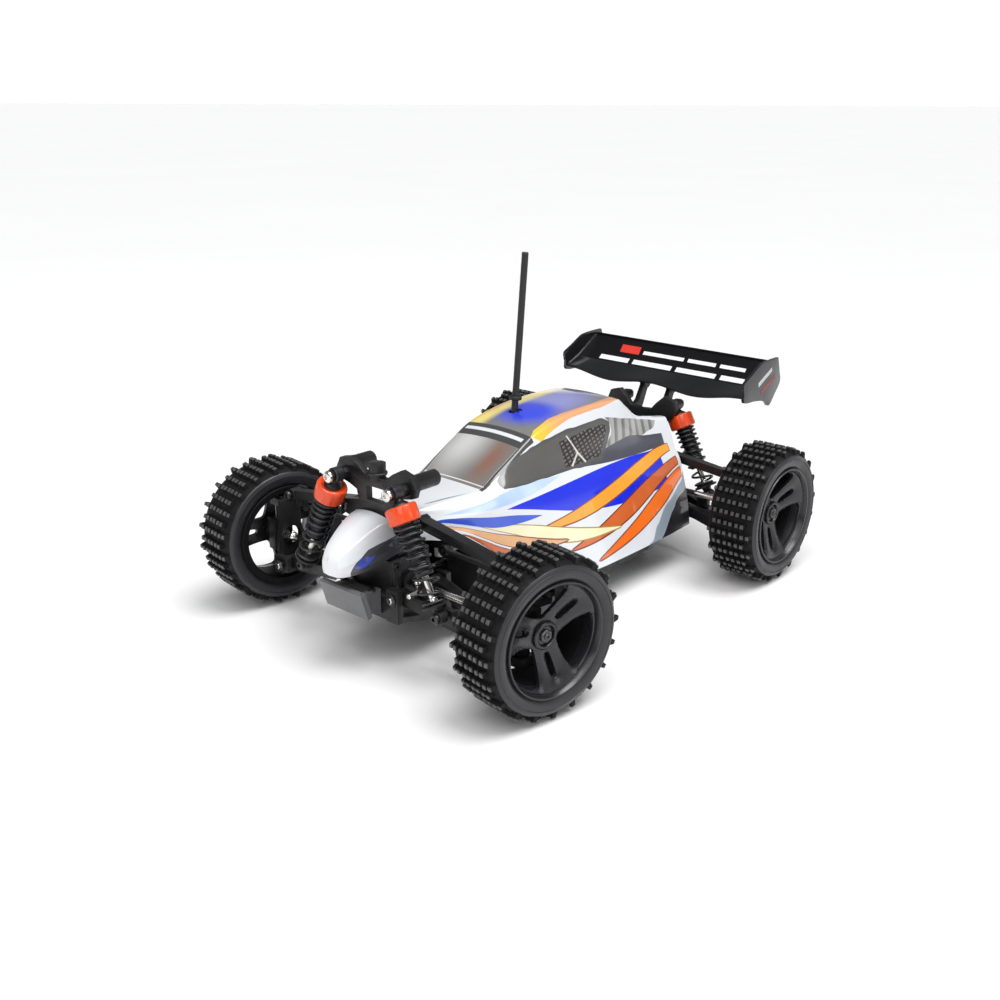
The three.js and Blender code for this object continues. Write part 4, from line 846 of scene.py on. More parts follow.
def tyre_geo():
    g = Geo()
    half = [(29.95, 4.0), (29.85, 8.0), (29.6, 10.3), (29.1, 11.35), (28.2, 12.0), (26.6, 12.25), (25.2, 12.1), (24.2, 11.65),
            (23.5, 11.1), (23.15, 10.78), (22.2, 10.6), (21.3, 10.45)]
    prof = [(r, -z) for r, z in reversed(half)] + [(30.0, 0)] + half + [(21.15, 6.0), (21.15, -6.0)]
    V, F = lathe(prof, 96, closed=True)
    # the tread band takes the darker rubber (painted shade), the side wall the plain one
    g.add((V, F), [("rubber_tread" if max(abs(V[i][2]) for i in f) < 11.4 and min(math.hypot(V[i][0], V[i][1]) for i in f) > 28.6 else "rubber_wall") for f in F], RX)
    rows = 40
    for k in range(rows):
        a = 2 * math.pi * k / rows
        xs = (-10.05, -7.45, -4.2, -1.6, 1.6, 4.2, 7.45, 10.05) if k % 2 == 0 else (-7.1, -4.5, -1.3, 1.3, 4.5, 7.1)
        for x in xs:
            edge = abs(x) > 9
            r0, r1, r2 = 29.2, 31.9, 32.36
            if edge:
                r1, r2 = 31.6, 32.1
            hx, hy = (0.86, 0.98) if not edge else (0.82, 0.9)
            sgn = 1 if x > 0 else -1
            lean = 0.45 * sgn if edge else 0.0
            pts = []
            for (r, q) in ((r0, 1.16), (r1, 0.96), (r2, 0.74)):
                for (ux, uy) in ((-1, -1), (1, -1), (1, 1), (-1, 1)):
                    X = x + ux * hx * q + (lean if r == r0 else 0)
                    Y = uy * hy * q
                    pts.append((X, Y, r))
            V2 = [(p[0], p[1] * math.cos(a) + p[2] * math.sin(a), -p[1] * math.sin(a) + p[2] * math.cos(a)) for p in pts]
            F2 = [(3, 2, 1, 0), (8, 9, 10, 11)] + [(i + 4 * j, (i + 1) % 4 + 4 * j, (i + 1) % 4 + 4 * j + 4, i + 4 * j + 4) for j in (0, 1) for i in range(4)]
            # knob tops take the lighter rubber (painted highlight), their sides the darker one (painted shade)
            g.add((V2, F2), ["rubber_tread", "rubber_top"] + ["rubber_tread"] * 4 + ["rubber_top"] * 4)
    # a fine raised rib on each side wall
    for s in (-1, 1):
        ribs = lathe([(r, s * z) for r, z in ((27.6, 12.02), (27.45, 12.42), (27.2, 12.45), (27.0, 12.14))], 96)
        g.add(ribs, "rubber_wall", RX, flip=s < 0)
    return g


def dish(r, out=True):
    """Distance along the axle of the wheel disc's outer or inner face."""
    xo = np.interp(r, [0, 4.6, 6.2, 9, 13, 16.5, 19.2, 21.3], [4.4, 4.4, 4.75, 5.4, 6.55, 7.8, 9.0, 9.9])
    return xo if out else xo - 2.5


def rim_geo():
    g = Geo()
    P = lambda r, a: (r * math.cos(a * D2R), r * math.sin(a * D2R))
    holes = []
    for a0 in (-20, 100, 220):
        pts = [(6.8, 0), (8.2, -17), (11.0, -28), (14.2, -33), (17.4, -34.5), (19.6, -33.5), (20.45, -28), (20.55, -14), (20.6, 0), (20.55, 14), (20.45, 28), (19.6, 33.5), (17.4, 34.5), (14.2, 33), (11.0, 28), (8.2, 17)]
        holes.append(smooth_loop([P(r, a + a0) for r, a in pts], 5))
        pts = [(7.6, 0), (8.3, -7.5), (11.5, -7.2), (15.0, -5.4), (16.9, -3.6), (17.5, 0), (16.9, 3.6), (15.0, 5.4), (11.5, 7.2), (8.3, 7.5)]
        holes.append(smooth_loop([P(r, a + a0 + 60) for r, a in pts], 4))
    outer = [P(21.3, 360 * i / 96) for i in range(96)]
    extra = [P(r, a) for r in (2.5, 5.0, 7.0, 9.5, 12, 14.5, 16.5, 18.2, 19.8) for a in np.arange(0, 360, 360 / max(12, int(r * 4)))]
    pts, tris = region(outer, holes, extra=extra)
    # spokes crown gently: the faces drop towards the openings
    hp = np.array([p for h in holes for p in h])

    def dip(x, y):
        d = float(np.min(np.hypot(hp[:, 0] - x, hp[:, 1] - y)))
        return 0.55 * math.exp(-d / 0.55) + 0.25 * math.exp(-d / 1.8)
    top = lambda x, y: (dish(math.hypot(x, y)) - dip(x, y), x, y)
    bot = lambda x, y: (dish(math.hypot(x, y), False), x, y)
    g.add(slab(pts, tris, top, bot), "rim_gloss")
    # hoop: outer lip, barrel and inner lip as one closed turned section
    hoop = [(19.6, -11.2), (20.0, -11.85), (22.5, -11.88), (22.88, -11.5), (22.85, -10.95), (20.9, -10.8), (20.9, -7.5), (20.3, -6.0), (20.3, 1.6),
            (21.6, 4.4), (21.6, 10.8), (22.85, 10.95), (22.88, 11.4), (22.6, 11.86), (22.1, 11.88), (21.6, 11.2), (21.3, 10.3), (20.95, 9.6), (20.85, 8.8), (20.4, 7.2), (19.9, 4.4), (19.6, 2.2), (19.45, -6.6), (19.5, -8.2)]
    hv, hf = lathe(hoop, 96, closed=True)
    # barrel inside and the hoop's back take the darker rim plastic: painted shade
    g.add((hv, hf), [("rim_inner" if max(math.hypot(hv[i][0], hv[i][1]) for i in f) < 20.4 or max(hv[i][2] for i in f) < 6 else "rim_gloss") for f in hf], RX)
    # hub: raised collar, recess, flanged wheel nut and threaded axle end
    g.add(lathe([(2.2, 4.2), (3.7, 4.3), (3.9, 5.2), (4.3, 5.75), (5.0, 5.85), (5.5, 5.5), (5.75, 4.4), (5.6, 3.0), (2.2, 3.0)], 48, closed=True), "rim_gloss", RX)
    g.add(hexnut(2.75, 4.35, 6.2, 0.35), "screw_black", RX)
    g.add(solid_lathe([(3.35, 4.2), (3.4, 4.45), (3.3, 4.75), (2.6, 4.85)], 32), "screw_black", RX)
    g.add(solid_lathe([(1.35, 5.8), (1.35, 6.5), (1.15, 6.75), (0.55, 6.75), (0.5, 6.4)], 20), "screw_black", RX)
    # six-sided drive and spindle behind the disc
    g.add(hexnut(4.95, -1.9, 2.2, 0.3), "nylon_black", RX)
    g.add(cyl(2.38, -10.2, 0.8, 24, 0.3), "steel", RX)
    return g


TY, RM = tyre_geo(), rim_geo()
SPIN = {("front", "left"): 0, ("front", "right"): 25, ("rear", "left"): -13, ("rear", "right"): 40}
for end in ("front", "rear"):
    for side, s in SIDES:
        if end == "front":
            T = tr(s * 70.4, FRONT_Y, AXLE_Z) @ rotz(-(8.4 + s * 1.0) * D2R) @ tr(s * 8.1, 0, 0)
        else:
            T = tr(s * 75.5, REAR_Y, AXLE_Z)
        if s < 0:
            T = T @ Matrix.Scale(-1, 4, (1, 0, 0))
        T = T @ rotx(SPIN[(end, side)] * D2R)
        for src, nm, sl, ang in ((TY, "tyre", "tyre", 40), (RM, "rim", "gloss_black_plastic", 38)):
            g = Geo()
            g.add((src.v, src.f), [src.names[k] for k in src.m], T)
            make(f"{nm}_fine_{end}_{side}", g, f"wheel_{end}_{side}", replaces=(f"{nm}_{end}_{side}",), angle=ang)

# ------------------------------------------------------------------ shock absorbers, local frame: top eye at 0, axis down -Z
FT, FB, FSY = (17, 75), (40, 30), -98
RT, RB, RSY = (15.5, 71), (38.5, 28.5), 98
for end, (Tp, Bp, sy) in {"front": (FT, FB, FSY), "rear": (RT, RB, RSY)}.items():
    dx, dz = Bp[0] - Tp[0], Bp[1] - Tp[1]
    L = math.hypot(dx, dz)
    for side, s in SIDES:
        n = f"{end}_{side}"
        T = Matrix(((-dz / L * s, 0, -dx / L * s, Tp[0] * s), (0, 1, 0, sy), (dx / L, 0, -dz / L, Tp[1]), (0, 0, 0, 1)))
        g = Geo()
        thread = [(3.55, -33.6), (3.9, -33.2), (3.9, -32.2)]
        z = -32.0
        while z < -13.4:
            thread += [(3.86, z), (3.56, z + 0.42), (3.86, z + 0.84)]
            z += 0.92
        thread += [(3.86, -12.6), (3.86, -12.0)]
        V, F = lathe([(1.75, -33.6)] + thread + [(0, -12.0)], 28)
        g.add((V, F), "shock_black", T)
        g.add(lathe([(1.75, -33.6), (1.75, -16.2), (0, -16.2)], 24), "shock_black", T, flip=True)
        # red collar with a stepped top and grip notches
        col = []
        nseg = 72
        prof = [(3.9, -12.25), (5.7, -12.25), (6.25, -11.9), (6.42, -11.4), (6.42, -6.2), (6.15, -5.6), (5.7, -5.3), (5.0, -5.2), (4.7, -5.45), (4.0, -5.5), (3.7, -5.7)]
        V, F = lathe(prof, nseg, closed=True)
        V2 = []
        for i, (x, y, zz) in enumerate(V):
            r = math.hypot(x, y); a = math.atan2(y, x)
            if r > 6.3:
                k = 1 - 0.045 * max(0.0, math.cos(a * 12)) ** 6
                x, y = x * k, y * k
            V2.append((x, y, zz))
        g.add((V2, F), "collar_red", T)
        # cap, neck and top eye
        g.add(solid_lathe([(3.75, -6.4), (3.8, -5.3), (3.5, -4.6), (2.5, -3.9), (1.9, -3.2), (1.6, -2.4)], 28), "shock_black", T)
        eye = ring(3.15, 1.86, -2.2, 2.2, 30, 0.75)
        g.add(eye, "shock_black", T @ rotx(math.pi / 2))
        make(f"shock_body_fine_{n}", g, f"shock_{n}", replaces=(f"shock_body_{n}",), angle=36)
        # rod, spring seat and lower eye
        g = Geo()
        g.add(cyl(1.4, -L + 2.6, -22.5, 20, 0.3), "steel", T)
        g.add(solid_lathe([(1.5, -L + 2.9), (1.62, -L + 3.3), (1.62, -L + 7.4), (1.4, -L + 8.0)], 20), "steel", T)
        g.add(ring(2.85, 1.98, -2.0, 2.0, 28, 0.6), "nylon_black", T @ tr(0, 0, -L) @ rotx(math.pi / 2))
        g.add(solid_lathe([(1.7, -L + 2.3), (2.2, -L + 3.1), (2.4, -L + 4.3)], 20), "nylon_black", T)
        g.add(solid_lathe([(2.4, -L + 4.1), (5.5, -L + 4.2), (5.62, -L + 4.6), (5.55, -L + 5.2), (4.4, -L + 5.45), (4.2, -L + 6.0), (1.9, -L + 6.1)], 36), "nylon_black", T)
        make(f"shock_rod_fine_{n}", g, f"shock_rod_{n}", replaces=(f"shock_rod_{n}",), angle=36)
        # coil spring: closed end turns, even pitch between
        turns, z0, z1 = 9.0, -12.95, -L + 6.15
        steps = 280
        pts = []
        for i in range(steps + 1):
            t = i / steps
            e = min(1, max(0, (t - 0.08) / 0.84))
            w = 0.035 * min(1, t / 0.08) + 0.93 * (0.62 * e + 0.38 * e ** 3) + 0.035 * min(1, max(0, (t - 0.92) / 0.08))
            a = t * turns * 2 * math.pi
            pts.append((4.7 * math.cos(a), 4.7 * math.sin(a), z0 + (z1 - z0) * w))
        g = Geo()
        g.add(tube(pts, 0.6, 8), "spring_black", T)
        sp = make(f"shock_spring_fine_{n}", g, None, replaces=(f"shock_spring_{n}",), angle=60)
        a = T @ Vector((0, 0, z0))
        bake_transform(sp)

# ------------------------------------------------------------------ suspension, carried over with rounded edges and its hardware
FP, FO, FU, FV = (15, 30), (61, 22.5), (18.5, 60), (60.5, 53.5)
RP, RO, RU, RV = (14, 25.5), (60, 20.5), (13, 50.5), (58, 46)


def pin_end(g, x, y, z, d, r=1.4, mat="steel"):
    """Turned pin end with a retaining clip; d is the way out along Y."""
    g.add(cyl(r, 0, 1.1, 20, 0.25), mat, along((x, y, z), (x, y + d, z)))
    g.add(ring(r + 1.0, r - 0.25, 0.0, 0.45, 20, 0.1), "screw_black", along((x, y - d * 0.2, z), (x, y + d, z)))


for side, s in SIDES:
    y = FRONT_Y

    def front_arm(g, s=s, y=y):
        screw(g, (s * FB[0], y - 15.1, FB[1]), (s * FB[0], y - 20, FB[1]), 2.1, 1.5)
        g.add(bevelled(*(lambda x0, x1, y0, y1, z0, z1: ([(x, yy, z) for z in (z0, z1) for yy in (y0, y1) for x in (x0, x1)], [(0, 2, 3, 1), (4, 5, 7, 6), (0, 1, 5, 4), (2, 6, 7, 3), (0, 4, 6, 2), (1, 3, 7, 5)]))(*sorted((s * 22.0, s * 26.6)), y - 7.0, y - 3.0, 28.0, 36.2), w=0.6, seg=2, dissolve=False), "nylon_black")
        g.add(cyl(1.15, 0, 12.5, 18, 0.4), "steel", along((s * 24.3, y - 14.5, 34.2), (s * 24.3, y, 34.2)))
        # stiffening ribs on both edges of the arm
        k = (FO[1] - FP[1]) / (FO[0] - FP[0])
        for (xa, ya, xb, yb) in ((20, -9.6, 50, -7.0), (22, 11.4, 50, 6.0)):
            za, zb = FP[1] + k * (xa - FP[0]) + 2.5, FP[1] + k * (xb - FP[0]) + 2.5
            g.add(tube([(s * xa, y + ya, za), (s * (xa + xb) / 2, y + (ya + yb) / 2, (za + zb) / 2), (s * xb, y + yb, zb)], [0.75, 0.8, 0.7], 8), "nylon_black")
    refine(f"lower_arm_front_{side}", "nylon_black", 0.55, 2, front_arm)

    def carrier(g, s=s, y=y):
        pin_end(g, s * FO[0], y - 11.0, FO[1], -1, 1.35)
        screw(g, (s * 61, y - 3.6, 53.5), (s * 61, y - 9, 53.5), 2.0, 1.3)
        screw(g, (s * 70.4, y, 49.5), (s * 70.4, y, 54), 2.2, 1.5)
        screw(g, (s * 70.4, y, 15.9), (s * 70.4, y, 12), 2.2, 1.3)
    refine(f"hub_carrier_front_{side}", "nylon_black", 0.45, 2, carrier)
    refine(f"upper_arm_front_{side}", "nylon_black", 0.6, 2)
    refine(f"steering_knuckle_{side}", "nylon_black", 0.35, 2)
    refine(f"tie_rod_{side}", "nylon_black", 0.3, 2)
    r = REAR_Y

    def rear_arm(g, s=s):
        screw(g, (s * RB[0], 100.2, RB[1]), (s * RB[0], 104, RB[1]), 2.1, 1.5)
    refine(f"lower_arm_rear_{side}", "nylon_black", 0.55, 2, rear_arm)

    def upright(g, s=s, r=r):
        pin_end(g, s * RO[0], r + 10.3, RO[1], 1, 1.35)
        pin_end(g, s * RO[0], r - 10.9, RO[1], -1, 1.35)
        screw(g, (s * 58, r - 3.6, 46), (s * 58, r - 9, 46), 2.0, 1.3)
    refine(f"rear_upright_{side}", "nylon_black", 0.45, 2, upright)
    refine(f"upper_link_rear_{side}", "nylon_black", 0.6, 2)
    for end, x1, yc in (("front", 65.2, FRONT_Y), ("rear", 62.4, REAR_Y)):
        g = Geo()
        T = along((s * 14.8, yc, AXLE_Z), (s * (x1 - 1.2), yc, AXLE_Z))
        Ls = x1 - 1.2 - 14.8
        g.add(solid_lathe([(0.9, 1.2), (1.5, 3.0), (1.5, Ls - 3.0), (0.9, Ls - 1.2)], 20), "steel", T)
        g.add(sphere(2.2, 22, 12), "steel", T)
        g.add(sphere(2.2, 22, 12), "steel", T @ tr(0, 0, Ls))
        g.add(cyl(0.7, -2.6, 2.6, 12, 0.15), "steel", T @ rotx(math.pi / 2))
        g.add(cyl(0.7, -2.6, 2.6, 12, 0.15), "steel", T @ tr(0, 0, Ls) @ rotx(math.pi / 2))
        make(f"drive_shaft_fine_{end}_{side}", g, f"drive_shaft_{end}_{side}", replaces=(f"drive_shaft_{end}_{side}",), angle=36)

# ------------------------------------------------------------------ frame pieces that stay on the chassis


def tower_front(g):
    for s in (-1, 1):
        # shock screws: bright domed heads with a dark socket
        g.add(lathe([(0, 0.2), (0.9, 0.2), (0.95, 1.35), (1.5, 1.3), (2.35, 0.8), (2.55, 0.1), (2.55, -0.2), (0, -0.2)], 28), "steel", along((s * FT[0], -102.2, FT[1]), (s * FT[0], -106, FT[1])), flip=True)
        # rounded ends of the rear standoffs, with their screws
        g.add(solid_lathe([(3.3, -0.6), (3.35, 0.2), (3.0, 0.75), (2.1, 1.0)], 26), "nylon_black", along((s * 18.4, -78.0, 76.8), (s * 18.4, -74, 76.8)))
        screw(g, (s * 18.4, -77.1, 76.8), (s * 18.4, -74, 76.8), 1.7, 0.8)
        # lower wing of the tower: a screw for each upper arm and one nearer the middle
        screw(g, (s * FU[0], -92.7, FU[1]), (s * FU[0], -97, FU[1]), 2.0, 1.3)
        screw(g, (s * 6.0, -92.7, 50.5), (s * 6.0, -97, 50.5), 1.8, 1.2)
    # body post: a collar
    g.add(ring(4.1, 3.3, 77.2, 78.4, 28, 0.25), "nylon_black", tr(0, -91.3, 0))


refine("front_shock_tower", "nylon_black", 0.5, 2, tower_front)


def tower_rear(g):
    for s in (-1, 1):
        g.add(lathe([(0, 0.2), (0.9, 0.2), (0.95, 1.35), (1.5, 1.3), (2.35, 0.8), (2.55, 0.1), (2.55, -0.2), (0, -0.2)], 28), "steel", along((s * RT[0], 102.2, RT[1]), (s * RT[0], 106, RT[1])), flip=True)
        screw(g, (s * 5.5, 93.0, 51.0), (s * 5.5, 96, 51.0), 1.8, 1.1)


refine("rear_shock_tower", "nylon_black", 0.5, 2, tower_rear)


def bumper(g):
    for x in (-8.6, 0.0, 8.6):
        pass
    # moulded lip along the plate's upper edge and two countersunk screws
    g.add(tube([(-11.6, -112.2, 35.3), (11.6, -112.2, 35.3)], 0.85, 10), "bumper_grey")
    for s in (-1, 1):
        screw(g, (s * 7.75, -103.5, 33.2), (s * 7.75, -103.5, 36), 1.7, 0.9)


refine("front_bumper", "bumper_grey", 0.6, 3, bumper)


def gearbox_front(g):
    for s in (-1, 1):
        for (yy, zz) in ((-92.5, 41.0), (-77, 41.0), (-92.5, 27.5)):
            screw(g, (s * 10.5, yy, zz), (s * 13, yy, zz), 1.6, 1.0)
    for yy in (-94.2, -90.6, -78.0):
        g.add(box(-10.9, 10.9, yy - 0.45, yy + 0.45, 25.2, 43.6, 0.25, 1), "nylon_black")


refine("front_gearbox", "nylon_black", 0.9, 3, gearbox_front)


def gearbox_rear(g):
    for s in (-1, 1):
        for (yy, zz) in ((73.5, 39.0), (99.5, 39.0), (73.5, 20.5), (99.5, 30.0)):
            screw(g, (s * 10.3, yy, zz), (s * 13, yy, zz), 1.6, 1.0)
    for yy in (76.5, 94.0, 97.5, 101.0):
        g.add(box(-10.7, 10.7, yy - 0.45, yy + 0.45, 17.6, 41.6, 0.25, 1), "nylon_black")


refine("rear_gearbox", "nylon_black", 0.9, 3, gearbox_rear)


def chassis_extra(g):
    for s in (-1, 1):
        for yy in (-99.9, -68.9):
            pin_end(g, s * FP[0], yy - (0.3 if yy < -90 else -0.3), FP[1], -1 if yy < -90 else 1, 1.4)
        pin_end(g, s * RP[0], 106.5, RP[1], 1, 1.4)
        # a long lip along each side guard, and screw heads on the floor
        g.add(tube([(s * 31.6, -39, 22), (s * 34.5, -20, 22), (s * 35.5, 20, 22), (s * 34.6, 49, 22), (s * 29.6, 65, 22)], 0.75, 8), "nylon_grey")
        for (xx, yy) in ((8, -66), (8, -80), (12, -60), (24, 62), (8, 84), (8, 100)):
            zz = 12 if abs(yy) < 64 else (12 + (abs(yy) - 63.5) * 0.235 if yy < 0 else 12 + (yy - 74) * 0.05)
            g.add(solid_lathe([(1.9, -0.05), (1.9, 0.1), (1.0, 0.3)], 20), "screw_black", along((s * xx, yy, zz + 0.1), (s * xx, yy, zz - 3)))


refine("chassis", "nylon_grey", 0.3, 2, chassis_extra)


def mount_extra(g):
    for s in (-1, 1):
        g.add(tube([(s * 6.5, 105.2, 77.6), (s * 9.7, 105.2, 77.6)], 2.6, 20), "nylon_black")
        screw(g, (s * 9.6, 105.2, 77.6), (s * 13, 105.2, 77.6), 1.7, 0.9)


refine("wing_mount", "nylon_black", 0.55, 3, mount_extra)

# antenna: tapered tube with a moulded base and a cap
g = Geo()
A0, A1 = Vector((-5.1, -8.9, 14.8)), Vector((-2.8, 1.2, 155.0))
LA = (A1 - A0).length
g.add(solid_lathe([(2.3, 0.0), (2.35, 1.5), (1.6, 3.0), (1.55, 60.5), (1.5, LA - 0.6), (1.2, LA - 0.2)], 24), "antenna_black", along(A0, A1))
# grommet where it leaves the roof
g.add(ring(2.9, 1.45, 75.4, 77.2, 26, 0.4), "nylon_black_matt", along(A0, A1))
make("antenna_fine", g, "chassis", replaces=("antenna_tube",), angle=34)

# power train under the shell
refine("battery_pack", "wrap_blue", 1.6, 4, lambda g: [g.add(ring(0.1 + 7.0, 6.9, 0, 0.3), "wrap_blue", tr(16.5, y0, 40)) for y0 in ()])
refine("speed_controller", "alloy", 0.4, 2)
refine("steering_servo", "nylon_black_matt", 0.7, 3)
refine("servo_arm", "nylon_white", 0.4, 2)
refine("steering_link", "nylon_black", 0.35, 2)
refine("pinion_gear", "brass", 0.08, 1)
refine("spur_gear", "nylon_white", 0.12, 1)
g = Geo()
T = along((-15, 10.5, 28.5), (-15, 44.5, 28.5))
g.add(solid_lathe([(3.9, 0), (4.0, 0.4), (4.0, 2.4), (11.2, 2.6), (11.95, 3.3), (11.95, 4.6), (11.6, 5.0), (11.6, 6.0), (11.95, 6.4), (11.95, 29.5), (11.6, 30.0), (11.6, 31.0), (11.95, 31.4), (11.9, 33.0), (11.2, 33.4), (4.6, 33.4), (3.2, 33.2)], 48), "can_steel", T)
for k in range(4):
    a = k * 90 * D2R
    g.add(box(-1.4, 1.4, 11.7, 12.3, 6.5, 11.0, 0.25, 1), "nylon_black", T @ rotz(a + 0.6))
make("motor_fine", g, "chassis", replaces=("motor",), angle=34)
g = Geo()
T = along((0, -73.6, 28.5), (0, 70.1, 28.5))
g.add(solid_lathe([(1.1, 0), (1.5, 0.4), (1.5, 143.3), (1.1, 143.7)], 20), "steel", T)
for z in (3.0, 140.0):
    g.add(ring(2.5, 1.4, z - 1.6, z + 1.6, 20, 0.3), "steel", T)
make("centre_shaft_fine", g, "drive_line", replaces=("centre_drive_shaft",), angle=34)
# coloured leads from the speed controller to the motor and the battery
g = Geo()
for (mat_n, pts) in (("sticker_red", [(-14, 1.5, 27), (-13, 5, 31), (-9, 8, 36), (-11, 11, 37), (-13, 13, 35)]),
                     ("nylon_black", [(-20, 1.5, 27), (-21, 5, 31), (-22, 8, 35.5), (-20, 11, 37), (-18, 13, 36)]),
                     ("sticker_red", [(-10.5, -14, 27), (-6, -14, 31), (-1, -15, 33), (3, -18, 33), (6, -24, 32.8), (7, -29.5, 28)]),
                     ("nylon_black", [(-10.5, -18, 27), (-6, -18, 31), (-1, -19, 34), (4, -22, 34), (9, -27, 33.4), (10, -30, 27)])):
    g.add(tube(pts, 0.9, 8), mat_n)
make("power_leads", g, "chassis", angle=60)

# ------------------------------------------------------------------ rear wing: waved glossy lip, matt blade, two end plates with plain marks
def wing_z(y):
    return 79.9 + (y - 97) * 0.56 + 0.0006 * (y - 97) ** 2


def wave(x):
    t = abs(x) / 54
    return 1.5 * math.cos(t * math.pi * 2.05) - 0.4 + 0.9 * t


def lift(x, y):
    return wave(x) * float(np.interp(y, [97, 101, 106], [1.0, 0.6, 0.0]))


def blade_top(x, y):
    return wing_z(y) + lift(x, y)


def wing():
    g = Geo()
    xs = np.linspace(-53.75, 53.75, 91)
    ys = [97.25, 97.9, 98.8, 100, 101, 102.5, 104, 105.2, 106, 107.5, 109, 111, 113.5, 117, 120, 122.2, 123.1]
    V, F, M = [], [], []
    up, lo = [], []
    for x in xs:
        a, b = [], []
        for y in ys:
            a.append(len(V)); V.append((x, y, blade_top(x, y) - (0.1 if y < 97.5 else 0) - (0.12 if y > 122.5 else 0)))
        for y in ys:
            b.append(len(V)); V.append((x, y, blade_top(x, y) - 1.42 + (0.1 if y < 97.5 else 0)))
        up.append(a); lo.append(b)
    nx, ny = len(xs), len(ys)
    for i in range(nx - 1):
        for j in range(ny - 1):
            F.append((up[i][j], up[i + 1][j], up[i + 1][j + 1], up[i][j + 1]))
            xm = abs(xs[i] + 0.6)
            edge = 105.4
            M.append("wing_gloss" if ys[j] < edge else "wing_matt")
            F.append((lo[i][j], lo[i][j + 1], lo[i + 1][j + 1], lo[i + 1][j])); M.append("wing_gloss")
        # rounded leading edge and rolled trailing edge
        y0 = 96.95
        for (jj, yy, sgn) in ((0, y0, 1), (ny - 1, 123.45, -1)):
            a0, a1, b0, b1 = up[i][jj], up[i + 1][jj], lo[i][jj], lo[i + 1][jj]
            k = len(V)
            V.append((xs[i], yy, (V[a0][2] + V[b0][2]) / 2)); V.append((xs[i + 1], yy, (V[a1][2] + V[b1][2]) / 2))
            q = [(a0, k, k + 1, a1), (k, b0, b1, k + 1)] if sgn > 0 else [(a0, a1, k + 1, k), (k, k + 1, b1, b0)]
            F += q; M += ["wing_gloss"] * 2
    g.add((V, F), M)
    # lip turned up along the trailing edge
    g.add(tube([(x, 122.9, blade_top(x, 122.9) + 0.1) for x in np.linspace(-53.4, 53.4, 12)], 0.62, 10), "wing_matt")
    ep = [(95.3, 88), (99.2, 90.3), (103, 92), (107.6, 94.4), (112, 96), (119, 96.5), (126.4, 96.6), (127.5, 96), (129.4, 90), (131, 84), (126.6, 78.5), (121.5, 73.2), (117.6, 75.6), (114, 77), (106, 78.2), (97, 79), (96.2, 83.5)]
    ep = smooth_loop(ep, 3)
    for s in (-1, 1):
        pts, tris = region([(y, z) for y, z in reversed(ep)])
        V0 = [(p[0], p[1]) for p in pts]
        V2, F2 = slab(V0, tris, lambda y, z: (s * 55.15, y, z), lambda y, z: (s * 53.65, y, z))
        g.add(bevelled(V2, F2, 0.3, 2, dissolve=False), "wing_gloss")
        # raised rib inside each plate along the blade
        g.add(tube([(s * 53.3, y, blade_top(53.3, y) - 0.6) for y in (98.5, 103, 108, 113, 118, 122.5)], 0.9, 8), "wing_gloss")
    ob = make("wing_fine", g, "chassis", replaces=("rear_wing",), angle=40)

    def patch(loops, zf, mat, lift_by=0.06, d=0.9):
        """Thin painted marks lying on the blade's top: loops in (x, y)."""
        for lp in loops:
            xs0 = [p[0] for p in lp]; ys0 = [p[1] for p in lp]
            ex = [(x, y) for x in np.arange(min(xs0), max(xs0), d) for y in np.arange(min(ys0), max(ys0), d)]
            dense = []
            for a, b in zip(lp, lp[1:] + lp[:1]):
                k = max(1, int(math.hypot(b[0] - a[0], b[1] - a[1]) / d))
                dense += [(a[0] + (b[0] - a[0]) * j / k, a[1] + (b[1] - a[1]) * j / k) for j in range(k)]
            pts, tris = region(dense, extra=ex)
            top = lambda x, y: (x, y, zf(x, y) + lift_by)
            bot = lambda x, y: (x, y, zf(x, y) - 0.05)
            gm.add(slab(pts, tris, top, bot), mat)

    gm = Geo()
    for (xa, xb) in ((-40.2, -21.7), (-19.0, 4.9), (7.7, 31.1), (33.9, 47.2)):
        patch([[(xa + 0.5, 107.0), (xb + 0.5, 107.0), (xb, 109.9), (xa, 109.9)]], blade_top, "sticker_white")
    patch([[(-30.8, 113.4), (-18.6, 113.4), (-20.4, 118.4), (-32.4, 118.4)]], blade_top, "sticker_red")
    for (xa, xb) in ((-16.6, 8.5), (11.0, 27.5), (30.0, 44.5)):
        patch([[(xa, 114.1), (xb, 114.1), (xb - 0.6, 116.3), (xa - 0.6, 116.3)]], blade_top, "sticker_white")
    # marks on the end plates' outer faces
    for s in (-1, 1):
        for (lp, mat) in (([(109.5, 84.6), (121.8, 90.6), (121.2, 92.6), (108.9, 86.7)], "sticker_grey"), ([(112.6, 80.2), (125.4, 86.5), (124.9, 88.5), (112.0, 82.3)], "strap_red")):
            pts, tris = region(lp)
            V2, F2 = slab(pts, tris, lambda y, z: (s * 55.24, y, z), lambda y, z: (s * 55.1, y, z))
            gm.add(bevelled(V2, F2, 0, 1, dissolve=False), mat)
    make("wing_marks", gm, "chassis", angle=40)


wing()

# ------------------------------------------------------------------ CAD pieces shown as they are
SLOT_MAT = {"tyre": "rubber_wall", "gloss_black_plastic": "rim_gloss", "black_plastic": "nylon_black", "grey_plastic": "nylon_grey", "shock_plastic": "shock_black",
            "painted_shell": "white", "steel": "steel", "spring_steel": "spring_black", "battery_wrap": "wrap_blue", "motor_metal": "can_steel", "brass": "brass", "white_plastic": "nylon_white"}
for n, o in frame["nodes"].items():
    names = [s.material.name.split(".")[0] if s.material else "" for s in o.material_slots]
    for i, s in enumerate(o.material_slots):
        key = next((k for k in SLOT_MAT if names[i].startswith(k)), None)
        s.material = MATS[SLOT_MAT.get(key, "nylon_black")]
    if not o.material_slots:
        o.data.materials.append(MATS["nylon_black"])

